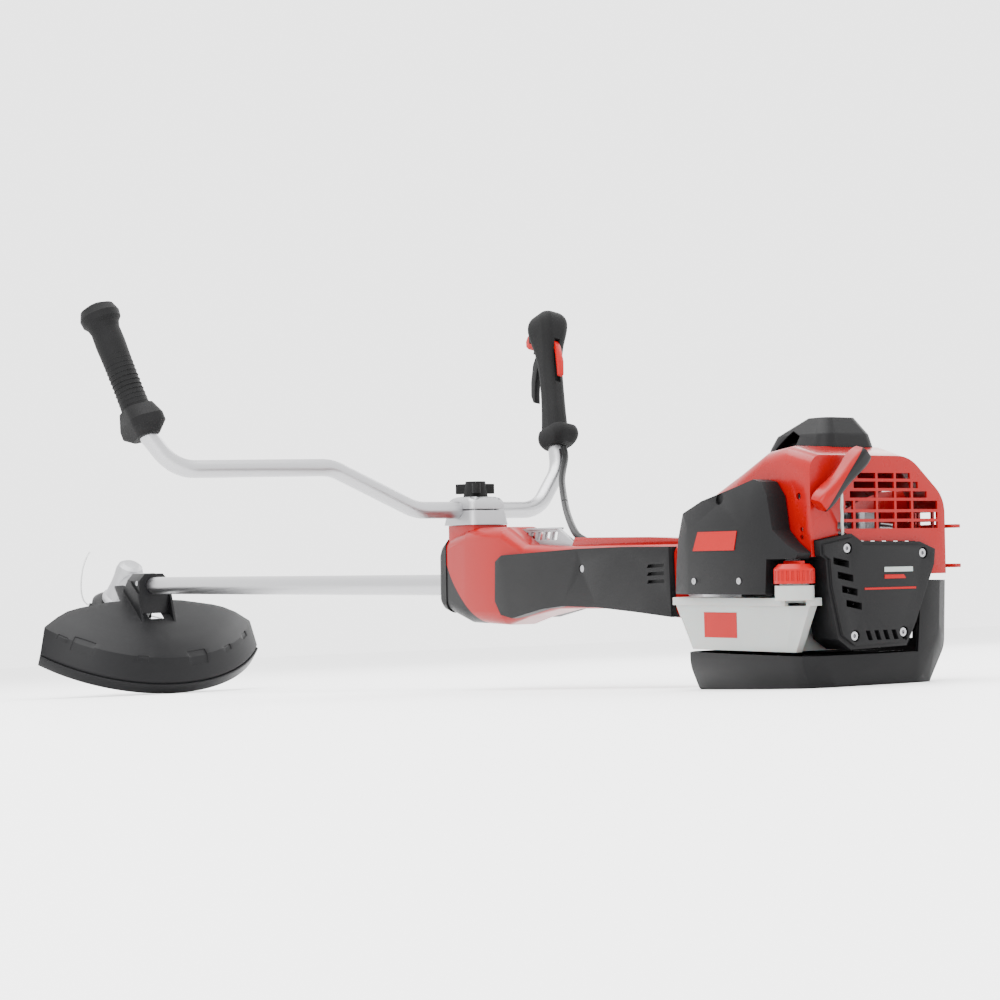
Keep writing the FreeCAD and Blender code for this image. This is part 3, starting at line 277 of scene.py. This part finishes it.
# %% [markdown]
# ## Metals and rope
#
# Drawn aluminium tube is satin and slightly streaked along its length, so its noise is stretched that way.
# Die-cast aluminium is duller with a sandy skin, and turned steel has fine marks round its axis. The
# starter rope is woven, and at this size a small bump over its twisted strands is enough to show it.

# %% Metal and rope finishes
def tube_aluminium():
    material, tree, shader = finish_of("tube_alu", (0.36, 0.36, 0.37), 0.30, 1.0)
    streaks = noise(tree, 60, stretch=(0.05, 6, 6))
    link(tree, streaks * 0.16 + 0.26, shader, "Roughness")
    bump(tree, shader, streaks, 0.00004, 0.5)
    return material


def cast_aluminium():
    material, tree, shader = finish_of("cast_alu", (0.30, 0.30, 0.31), 0.45, 0.85)
    sand = noise(tree, 500)
    cloud = noise(tree, 25)
    link(tree, cloud * 0.25 + 0.33, shader, "Roughness")
    bump(tree, shader, sand, 0.0003, 0.6)
    return material


def turned_steel(name, color, roughness):
    material, tree, shader = finish_of(name, color, roughness, 1.0)
    marks = noise(tree, 220, 2.0, (8, 1, 1))
    link(tree, marks * 0.2 + (roughness - 0.1), shader, "Roughness")
    return material


def woven_rope():
    material, tree, shader = finish_of("rope", (0.30, 0.30, 0.28), 0.85)
    weave = noise(tree, 600, 2.0, (1, 1, 0.4))
    bump(tree, shader, weave, 0.0006, 0.8)
    return material


# %% [markdown]
# ## A finish for every solid
#
# The record names a material slot for each piece, so one table from slot to finish is enough. Setting each
# object by hand would do the same, but a new piece would then be easy to forget.

# %% Dress the solids
FINISHES = {
    "shell_red": red_plastic(),
    "accent_red": grained_plastic("accent_red", (0.21, 0.0003, 0.0006), 0.35, 500, 0.0001),
    "shell_black": grained_plastic("shell_black", BLACK, 0.50),
    "guard_black": grained_plastic("guard_black", (0.0026, 0.0026, 0.003), 0.42, 700, 0.00018),
    "soft_grip": soft_rubber(),
    "cable_black": grained_plastic("cable_black", (0.002, 0.002, 0.0022), 0.45, 300, 0.0001),
    "tank_white": tank_plastic(),
    "tube_alu": tube_aluminium(),
    "cast_alu": cast_aluminium(),
    "steel": turned_steel("steel", (0.30, 0.30, 0.31), 0.3),
    "drum_steel": turned_steel("drum_steel", (0.24, 0.24, 0.25), 0.45),
    "rope": woven_rope(),
    "foam": grained_plastic("foam", (0.05, 0.05, 0.05), 0.9, 260, 0.0012),
    "line_clear": grained_plastic("line_clear", (0.50, 0.50, 0.50), 0.30, 100, 0.00005),
}


def paint(mesh, finish):
    mesh.materials.clear()
    mesh.materials.append(finish)


for name, node in nodes.items():
    paint(node.data, FINISHES[slot_of[name]])
print("dressed", len(nodes), "solids in", len(set(slot_of.values())), "finishes")

# %% [markdown]
# ## Two-colour mouldings
#
# The nose of the handle housing is black and the rest is red, and the parting line curves back under the
# shaft. The starter handle has a red back on a black grip. Each is one piece, so it could carry two
# materials on its faces, but the parting line would then follow the facets. The colour is chosen by where
# a point lies in the shaft frame instead, which gives a clean line.

# %% Two-colour tools
def shaft_coordinate(tree, axis, offset_mm):
    inputs = {0: object_point(tree), 1: tuple(axis)}
    dot = add_node(tree, "ShaderNodeVectorMath", {"operation": "DOT_PRODUCT"}, inputs)[1]
    return (dot - SHAFT_ORIGIN.dot(axis)) * (1 / MM) - offset_mm


def two_colour(name, mask_of, below, over):
    material, tree, shader = finish_of(name, below, 0.32, Specular_IOR_Level=0.16, Coat_Weight=0.03)
    mask = mask_of(tree)
    link(tree, mottle(tree, mask, below, over), shader, "Base Color")
    link(tree, mask * -0.18 + 0.46, shader, "Roughness")
    bump(tree, shader, noise(tree, 700, 2.0), 0.00015, 0.5)
    return material


# %% Parting lines
# the housing's line is x = PARTING_X + PARTING_SLOPE d + PARTING_CURVE d^2, with d the drop below PARTING_Z
PARTING_X = -665.0
PARTING_Z = 36.0
PARTING_SLOPE = 0.35
PARTING_CURVE = 0.0085

# the starter rope leaves the pulley's edge at ROPE_START along ROPE_SLOPE, to the middle of its grip
ROPE_START = (100.0, -28.0, 0.0)
ROPE_SLOPE = (0.29, -0.27, 1.0)
GRIP_DISTANCE = 117.0
GRIP_BACK = (SHAFT_X * -0.35 + SHAFT_Y * -0.75 + SHAFT_Z * 0.55).normalized()
GRIP_PARTING = -1.5


def rope_at(distance_mm):
    reach = distance_mm / Vector(ROPE_SLOPE).length
    return at(*(start + slope * reach for start, slope in zip(ROPE_START, ROPE_SLOPE)))


def behind_the_nose(tree):
    x = shaft_coordinate(tree, SHAFT_X, PARTING_X)
    drop = shaft_coordinate(tree, SHAFT_Z, PARTING_Z) * -1.0
    drop = drop * drop.above(0.0)
    return x.above(drop * PARTING_SLOPE + drop * drop * PARTING_CURVE)


def back_of_grip(tree):
    middle_mm = (rope_at(GRIP_DISTANCE) - SHAFT_ORIGIN).dot(GRIP_BACK) / MM
    return shaft_coordinate(tree, GRIP_BACK, middle_mm).above(GRIP_PARTING)


OWN_FINISH = {
    "main_housing": two_colour("housing_red_and_black", behind_the_nose, BLACK, RED),
    "starter_grip": two_colour("grip_black_and_red", back_of_grip, BLACK, RED),
}
print("two-colour pieces:", ", ".join(OWN_FINISH))

# %% [markdown]
# ## Rounded edges on moulded and cast pieces
#
# A CAD solid has knife edges, and real mouldings never do: light catches a rounded edge as a thin bright
# line. Fillets in the CAD model would do it, but they are slow and often fail where many faces meet. We
# take a copy of each solid, merge its loose triangles and let a Bevel modifier round every edge sharper
# than a limit. The rounded copy then stands for the solid.

# %% Soften tools
MERGE_M = 0.00002
ROUNDING_SEGMENTS = 3
SHARPER_THAN = math.radians(32)
SHELL_CREASE = math.radians(35)


def merged_copy(name):
    mesh = nodes[name].data.copy()
    work = bmesh.new()
    work.from_mesh(mesh)
    bmesh.ops.remove_doubles(work, verts=work.verts, dist=MERGE_M)
    bmesh.ops.dissolve_degenerate(work, edges=work.edges, dist=MERGE_M)
    work.to_mesh(mesh)
    work.free()
    return mesh


def apply_modifiers(obj):
    graph = bpy.context.evaluated_depsgraph_get()
    mesh = bpy.data.meshes.new_from_object(obj.evaluated_get(graph))
    obj.modifiers.clear()
    obj.data = mesh
    return obj


def smooth(mesh, crease):
    mesh.shade_smooth()
    mesh.set_sharp_from_angle(angle=crease)


def soften(name, width_mm):
    obj = add_object(name + "_shell", merged_copy(name))
    rounding = obj.modifiers.new("round", "BEVEL")
    rounding.width = width_mm * MM
    rounding.segments = ROUNDING_SEGMENTS
    rounding.limit_method = "ANGLE"
    rounding.angle_limit = SHARPER_THAN
    apply_modifiers(obj)
    smooth(obj.data, SHELL_CREASE)
    if name in OWN_FINISH:
        paint(obj.data, OWN_FINISH[name])
    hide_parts(name)
    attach(obj, body_of[name])
    return obj


# %% Soften the solids
ROUNDING_MM = {
    "air_filter_cover": 2.5, "engine_shroud": 1.2, "top_hood": 1.4, "base_shell": 2.0,
    "starter_housing": 1.2, "fuel_tank": 1.8, "fuel_cap": 0.6, "main_housing": 1.2,
    "side_cover_left": 1.4, "side_cover_right": 1.4, "front_collar": 1.4, "harness_rail": 0.5,
    "top_spine": 1.6, "clamp_base": 1.2, "clamp_cap": 1.2, "clamp_knob": 1.6,
    "gearbox_housing": 1.0, "guard_bracket": 0.9, "cutting_guard": 0.9, "guard_skirt": 0.8,
    "trimmer_head": 0.6, "bump_knob": 0.8, "starter_grip": 1.4, "right_grip": 1.5,
    "throttle_trigger": 1.0, "lockout_lever": 0.9, "stop_switch": 0.8, "muffler_guard": 1.0,
}
face_count = 0
for name, width in ROUNDING_MM.items():
    face_count += len(soften(name, width).data.polygons)
print("softened", len(ROUNDING_MM), "shells,", face_count, "faces in all")

# %% [markdown]
# ## Plates and stripes
#
# Thin raised plates take the place of printed badges on the air filter cover, the tank and the starter
# housing. They could be painted on by a mask, but a real badge has an edge that catches the light. Each
# is a flat outline on a known face, sunk by half its thickness, pushed out by the whole of it, and left
# plain.

# %% Plates
# the outer faces that the plates sit on: the cover's y, the starter's x, and the tank face's (y, z) edges
COVER_Y = -118
STARTER_X = 125
TANK_UPPER_EDGE = (-95.8, -27.5)
TANK_LOWER_EDGE = (-90.6, -54.5)
SUNK = 0.5


def plate(name, corners, out, thick_mm, slot):
    push = (SHAFT_FRAME.to_3x3() @ Vector(out)).normalized() * thick_mm * MM
    low = [at(*corner) - push * SUNK for corner in corners]
    high = [point + push * (1 + SUNK) for point in low]
    count = len(corners)
    faces = [tuple(reversed(range(count))), tuple(range(count, 2 * count))]
    for i in range(count):
        j = (i + 1) % count
        faces.append((i, j, count + j, count + i))
    mesh = bpy.data.meshes.new(name)
    mesh.from_pydata([tuple(point) for point in low + high], [], faces)
    work = bmesh.new()
    work.from_mesh(mesh)
    bmesh.ops.recalc_face_normals(work, faces=work.faces)
    work.to_mesh(mesh)
    work.free()
    obj = add_object(name, mesh)
    paint(mesh, FINISHES[slot])
    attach(obj, "engine")


def cover_plate():
    outline = [(-35, 38), (-26, 58), (38, 58), (33, 38)]
    plate("cover_plate", [(x, COVER_Y, z) for x, z in outline], (0, -1, 0), 0.8, "accent_red")


def tank_plate():
    outline = [(-46, *TANK_UPPER_EDGE), (8, *TANK_UPPER_EDGE), (2, *TANK_LOWER_EDGE), (-52, *TANK_LOWER_EDGE)]
    plate("tank_plate", outline, (0, -52, -10), 0.5, "accent_red")


def starter_plate(name, outline, slot):
    plate(name, [(STARTER_X, y, z) for y, z in outline], (1, 0, 0), 0.4, slot)


cover_plate()
tank_plate()
starter_plate("starter_stripe", [(-22, -5), (50, -5), (50, -3), (-22, -3)], "accent_red")
starter_plate("starter_badge", [(6, 6), (36, 6), (33, 10), (6, 10)], "accent_red")
starter_plate("starter_bar", [(6, 13), (46, 13), (46, 18), (6, 18)], "tank_white")
print("plates: one on the cover, one on the tank, three on the starter")

# %% [markdown]
# ## Tubes for the rope and the cable
#
# The starter rope stretches between the engine and its handle, and the throttle cable bends between the
# housing, the clamp and the handlebar. A curve object with a round bevel would draw both, but a mesh made
# ring by ring can have the twist of a rope in its outline.

# %% Swept tubes
PLAIN_SIDES = 12
SIDES_PER_STRAND = 6
STRAND_DEPTH = 0.12


def smooth_line(points, steps):
    # Catmull-Rom through the points, in metres
    padded = [points[0] * 2 - points[1]] + points + [points[-1] * 2 - points[-2]]
    line = []
    for i in range(1, len(padded) - 2):
        a, b, c, d = padded[i - 1:i + 3]
        for k in range(steps):
            t = k / steps
            line.append(((b * 2) + (c - a) * t + (a * 2 - b * 5 + c * 4 - d) * t ** 2
                         + (b * 3 - a - c * 3 + d) * t ** 3) * 0.5)
    line.append(points[-1].copy())
    return line


def ring_radius(radius, angle, strands):
    if strands == 0:
        return radius
    return radius * (1 - STRAND_DEPTH + STRAND_DEPTH * math.cos(strands * angle))


def tube(name, line, radius_mm, finish, lay=0.0, strands=0):
    # lay is the turn from one ring to the next, and strands above zero give the rope's lobed outline
    sides = strands * SIDES_PER_STRAND if strands else PLAIN_SIDES
    verts = []
    faces = []
    side = Vector((0, 0, 1)).cross(line[1] - line[0]).normalized()
    for i, point in enumerate(line):
        along = (line[min(i + 1, len(line) - 1)] - line[max(i - 1, 0)]).normalized()
        side = (side - along * side.dot(along)).normalized()
        other = along.cross(side)
        for k in range(sides):
            angle = 2 * math.pi * k / sides
            turn = angle + lay * i
            radius = ring_radius(radius_mm * MM, angle, strands)
            verts.append(tuple(point + (side * math.cos(turn) + other * math.sin(turn)) * radius))
    for i in range(len(line) - 1):
        for k in range(sides):
            a = i * sides + k
            b = i * sides + (k + 1) % sides
            faces.append((a, b, b + sides, a + sides))
    faces.append(tuple(reversed(range(sides))))
    faces.append(tuple(range(len(verts) - sides, len(verts))))
    mesh = bpy.data.meshes.new(name)
    mesh.from_pydata(verts, [], faces)
    mesh.shade_smooth()
    paint(mesh, finish)
    return add_object(name, mesh)


# %% [markdown]
# ## Starter rope
#
# The rope runs straight from the housing to the handle, three strands twisted together. When the handle is
# pulled the rope grows out of the housing. The imported solid moves as a whole, and the piece that stands for
# it here is a fixed mesh, laid once where the rope lies.

# %% Starter rope
ROPE_FIRST = 24
ROPE_LAST = 115
ROPE_RINGS = 90
ROPE_RADIUS = 1.75
ROPE_LAY = 0.12
ROPE_STRANDS = 3

rope_line = [rope_at(ROPE_FIRST + (ROPE_LAST - ROPE_FIRST) * i / ROPE_RINGS) for i in range(ROPE_RINGS + 1)]
rope = tube("starter_rope_lay", rope_line, ROPE_RADIUS, FINISHES["rope"], ROPE_LAY, ROPE_STRANDS)
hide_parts("starter_rope")
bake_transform(rope)
print("starter rope shows", ROPE_LAST - ROPE_FIRST, "mm outside the housing")

# %% [markdown]
# ## Throttle cable
#
# The cable leaves the foot of the right grip and dives into the housing behind the clamp, on its way to
# the carburettor. Its points are the ones that the solid was swept through. It crosses two joints, the
# bar's tilt and the clamp's swivel, and it is made in two halves that meet on a shared ring.

# %% Grip frames
BAR_X = -634.0
BAR_Z = 98.0
BAR_LEAN = math.radians(20)
# the lower and upper end of each grip, as (y, z) on the leaning bar
RIGHT_GRIP_ENDS = ((154.5, 194), (188, 371))
LEFT_GRIP_ENDS = ((-454, 194), (-492, 355))


def on_the_bar(y, z):
    return Vector((BAR_X - (z - BAR_Z) * math.tan(BAR_LEAN), y, z))


def grip_frame(ends):
    low, high = [on_the_bar(*end) for end in ends]
    along = (high - low).normalized()
    ahead = Vector((-1, 0, 0))
    front = (ahead - along * ahead.dot(along)).normalized()
    return low, front, along


RIGHT_LOW, RIGHT_FRONT, RIGHT_ALONG = grip_frame(RIGHT_GRIP_ENDS)
LEFT_LOW, LEFT_FRONT, LEFT_ALONG = grip_frame(LEFT_GRIP_ENDS)
for side, along in (("right", RIGHT_ALONG), ("left", LEFT_ALONG)):
    print(side, "grip leans", round(math.degrees(along.angle(Vector((0, 0, 1)))), 1), "degrees")

# %% Throttle cable
CABLE_RADIUS = 4.6
STEPS_PER_SPAN = 14
SPANS_ABOVE_CLAMP = 3


def behind_right_grip(back, below):
    return RIGHT_LOW - RIGHT_FRONT * back - RIGHT_ALONG * below


cable_marks = [
    behind_right_grip(16.5, 17),
    behind_right_grip(18, 34),
    Vector((-610, 122, 138)),
    Vector((-548, 82, 104)),
    Vector((-482, 42, 80)),
    Vector((-426, 12, 62)),
    Vector((-392, 2, 53)),
]
cable_line = smooth_line([at(*mark) for mark in cable_marks], STEPS_PER_SPAN)
meeting = SPANS_ABOVE_CLAMP * STEPS_PER_SPAN
cable_up = tube("throttle_cable_upper", cable_line[:meeting + 1], CABLE_RADIUS, FINISHES["cable_black"])
cable_down = tube("throttle_cable_lower", cable_line[meeting:], CABLE_RADIUS, FINISHES["cable_black"])
for piece in (cable_up, cable_down):
    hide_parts("throttle_cable")
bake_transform(cable_up)
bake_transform(cable_down)
cable_length = sum((b - a).length for a, b in zip(cable_line, cable_line[1:]))
print("throttle cable shows", round(cable_length / MM), "mm")

# %% [markdown]
# ## Geometry Nodes from Python
#
# Anti-slip ribs and screw heads repeat, so Geometry Nodes make them: one tree stacks rings along a line,
# the other sets a screw head on each vertex of a mesh. Copying objects in a loop would do as well, but a
# tree keeps its sizes as named inputs that can be changed by hand. This helper makes a tree, sets its
# sizes by identifier and turns the result into a plain mesh, because instances don't survive the export.

# %% Geometry Nodes helper
PIECE_CREASE = math.radians(40)


class PieceTree:
    def __init__(self, name, **sizes):
        self.tree = bpy.data.node_groups.new(name, "GeometryNodeTree")
        self.tree.interface.new_socket("Geometry", in_out="INPUT", socket_type="NodeSocketGeometry")
        self.tree.interface.new_socket("Geometry", in_out="OUTPUT", socket_type="NodeSocketGeometry")
        self.identifiers = {}
        for label, value in sizes.items():
            kind = "NodeSocketInt" if isinstance(value, int) else "NodeSocketFloat"
            item = self.tree.interface.new_socket(label, in_out="INPUT", socket_type=kind)
            item.default_value = value
            self.identifiers[label] = item.identifier
        self.inputs = self.tree.nodes.new("NodeGroupInput")

    def size(self, label):
        return Socket(self.tree, self.inputs.outputs[label])

    def node(self, kind, **inputs):
        named = {key.replace("_", " "): value for key, value in inputs.items()}
        return add_node(self.tree, kind, {}, named)[0]

    def end_with(self, geometry, material):
        solid = self.node("GeometryNodeRealizeInstances", Geometry=geometry)
        dressed = self.node("GeometryNodeSetMaterial", Geometry=solid, Material=material)
        output = self.tree.nodes.new("NodeGroupOutput")
        self.tree.links.new(dressed.socket, output.inputs[0])
        return self

    def make(self, name, mesh, **sizes):
        obj = add_object(name, mesh)
        modifier = obj.modifiers.new("nodes", "NODES")
        modifier.node_group = self.tree
        for label, value in sizes.items():
            modifier[self.identifiers[label]] = value
        return apply_modifiers(obj)


def set_in_place(obj, origin_mm, x_axis, y_axis, z_axis, body):
    # carries a mesh made about its own origin to its place along the shaft, then gives it to its body
    turn = Matrix((x_axis, y_axis, z_axis)).transposed().to_4x4()
    obj.data.transform(SHAFT_FRAME @ (Matrix.Translation(origin_mm * MM) @ turn))
    smooth(obj.data, PIECE_CREASE)
    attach(obj, body)


# %% [markdown]
# ## Ribs on the left grip
#
# The left grip is plain rubber with thin ribs round it, so that a gloved hand doesn't slip. A bump texture
# would show them from afar, but not on the outline, where they are seen best. A Mesh Line gives the
# places, a circle swept round a circle gives one rib, and Instance on Points puts them together.

# %% Left grip ribs
RIB_COUNT = 17
RIB_PITCH = 6
RIB_RADIUS = 0.7
RIB_RING_RADIUS = 17.35
FIRST_RIB = 36


def rib_tree():
    ribs = PieceTree("grip_ribs", Count=RIB_COUNT, Spacing=RIB_PITCH * MM, Radius=RIB_RING_RADIUS * MM,
                     Rib_Radius=RIB_RADIUS * MM)
    step = ribs.node("ShaderNodeCombineXYZ", Z=ribs.size("Spacing"))
    spine = ribs.node("GeometryNodeMeshLine", Count=ribs.size("Count"), Offset=step)
    circle = ribs.node("GeometryNodeCurvePrimitiveCircle", Resolution=40, Radius=ribs.size("Radius"))
    section = ribs.node("GeometryNodeCurvePrimitiveCircle", Resolution=6, Radius=ribs.size("Rib_Radius"))
    ring = add_node(ribs.tree, "GeometryNodeCurveToMesh", {}, {0: circle, 1: section})[0]
    rings = ribs.node("GeometryNodeInstanceOnPoints", Points=spine, Instance=ring)
    return ribs.end_with(rings, FINISHES["soft_grip"])


left_ribs = rib_tree().make("left_grip_ribs", bpy.data.meshes.new("left_grip_ribs"), Count=RIB_COUNT,
                            Spacing=RIB_PITCH * MM, Radius=RIB_RING_RADIUS * MM, Rib_Radius=RIB_RADIUS * MM)
first_rib = LEFT_LOW + LEFT_ALONG * FIRST_RIB
left_side = LEFT_ALONG.cross(LEFT_FRONT)
set_in_place(left_ribs, first_rib, LEFT_FRONT, left_side, LEFT_ALONG, "handlebar")
print("left grip has", RIB_COUNT, "ribs over", (RIB_COUNT - 1) * RIB_PITCH, "mm")

# %% [markdown]
# ## Screw heads
#
# Hexagon socket screws hold the shells and the guard. Each is a short cylinder with a six-sided pocket cut
# by a Mesh Boolean, set on every vertex of a small mesh of seats. A modelled screw could be copied to each
# seat, but the tree keeps one recipe for all sizes. It works in a flat frame with its Z out of the face,
# and the result is turned to the side of the machine that it belongs on.

# %% Screw tree
def screw_tree():
    screws = PieceTree("socket_screws", Head_Radius=0.0035, Socket_Radius=0.0018, Head_Height=0.0012,
                       Socket_Depth=0.0008)
    head = screws.node("GeometryNodeMeshCylinder", Vertices=28, Radius=screws.size("Head_Radius"),
                       Depth=screws.size("Head_Height"))
    hexagon = screws.node("GeometryNodeMeshCylinder", Vertices=6, Radius=screws.size("Socket_Radius"),
                          Depth=screws.size("Socket_Depth"))
    lift = screws.node("ShaderNodeCombineXYZ", Z=screws.size("Head_Height") * 0.5)
    pocket = screws.node("GeometryNodeTransform", Geometry=hexagon, Translation=lift)
    cut = {"operation": "DIFFERENCE", "solver": "EXACT"}
    screw = add_node(screws.tree, "GeometryNodeMeshBoolean", cut, {0: head, 1: pocket})[0]
    placed = screws.node("GeometryNodeInstanceOnPoints", Points=screws.size("Geometry"), Instance=screw)
    return screws.end_with(placed, FINISHES["steel"])


SCREWS = screw_tree()

# %% Screws on the left side
COVER_SCREW_Y = -118.4
SHROUD_Y = -82.8
GUARD_ARM_Y = -27.4
LEFT_SIDE_OUT = Vector((0, -1, 0))
SOCKET_PART = 0.5


def left_side_screws(name, places_mm, radius_mm):
    z_axis = LEFT_SIDE_OUT
    x_axis = z_axis.orthogonal().normalized()
    y_axis = z_axis.cross(x_axis)
    to_flat = Matrix((x_axis, y_axis, z_axis))
    mesh = bpy.data.meshes.new(name)
    mesh.from_pydata([tuple((to_flat @ Vector(place)) * MM) for place in places_mm], [], [])
    obj = SCREWS.make(name, mesh, Head_Radius=radius_mm * MM, Socket_Radius=radius_mm * SOCKET_PART * MM)
    set_in_place(obj, Vector((0, 0, 0)), x_axis, y_axis, z_axis, "engine")
    print(name, "at", len(places_mm), "places")


left_side_screws("shroud_screws", [(81.6, SHROUD_Y, 95.9), (91.4, SHROUD_Y, 62.7)], 3.0)
left_side_screws("cover_screws", [(-34, COVER_SCREW_Y, 6), (40, COVER_SCREW_Y, 6)], 3.4)
left_side_screws("guard_screws", [(-1658, GUARD_ARM_Y, 4), (-1618, GUARD_ARM_Y, 4)], 4.0)

# %% [markdown]
# ## Floor and light
#
# A plain pale floor that reaches far past the machine, a bright even world, one broad soft light overhead
# and a fill on each side, as in a small studio. A backdrop with a curved foot would hide the horizon too,
# but a floor this wide fades into the world's white on its own.

# %% Floor and world
FLOOR_REACH = 30.0
FLOOR_PALE = (0.92, 0.92, 0.92)
WORLD_STRENGTH = 3.2

floor_corners = [(x * FLOOR_REACH, y * FLOOR_REACH, 0) for x, y in ((-1, -1), (1, -1), (1, 1), (-1, 1))]
floor_mesh = bpy.data.meshes.new("floor")
floor_mesh.from_pydata(floor_corners, [], [(0, 1, 2, 3)])
floor = add_object("floor", floor_mesh)
paint(floor_mesh, finish_of("floor_paint", FLOOR_PALE, 0.6)[0])

world = bpy.data.worlds.new("studio")
bpy.context.scene.world = world
world.use_nodes = True
world.node_tree.nodes["Background"].inputs["Color"].default_value = (1, 1, 1, 1)
world.node_tree.nodes["Background"].inputs["Strength"].default_value = WORLD_STRENGTH
print("floor is", 2 * FLOOR_REACH, "m wide")

# %% Lamps
MACHINE_MIDDLE = Vector((-0.8, 0.0, 0.1))


def soft_light(name, place, length, width, power):
    lamp = bpy.data.lights.new(name, "AREA")
    lamp.shape = "RECTANGLE"
    lamp.size = length
    lamp.size_y = width
    lamp.energy = power
    obj = add_object(name, lamp)
    obj.location = place
    obj.rotation_euler = (MACHINE_MIDDLE - Vector(place)).to_track_quat("-Z", "Y").to_euler()
    print(name, "lamp:", power, "W")


soft_light("overhead", (-0.8, -0.6, 3.2), length=4.0, width=2.5, power=220)
soft_light("operator_side", (1.6, -3.0, 1.6), length=2.5, width=1.8, power=110)
soft_light("far_side", (-1.5, 3.0, 2.0), length=3.0, width=1.5, power=70)
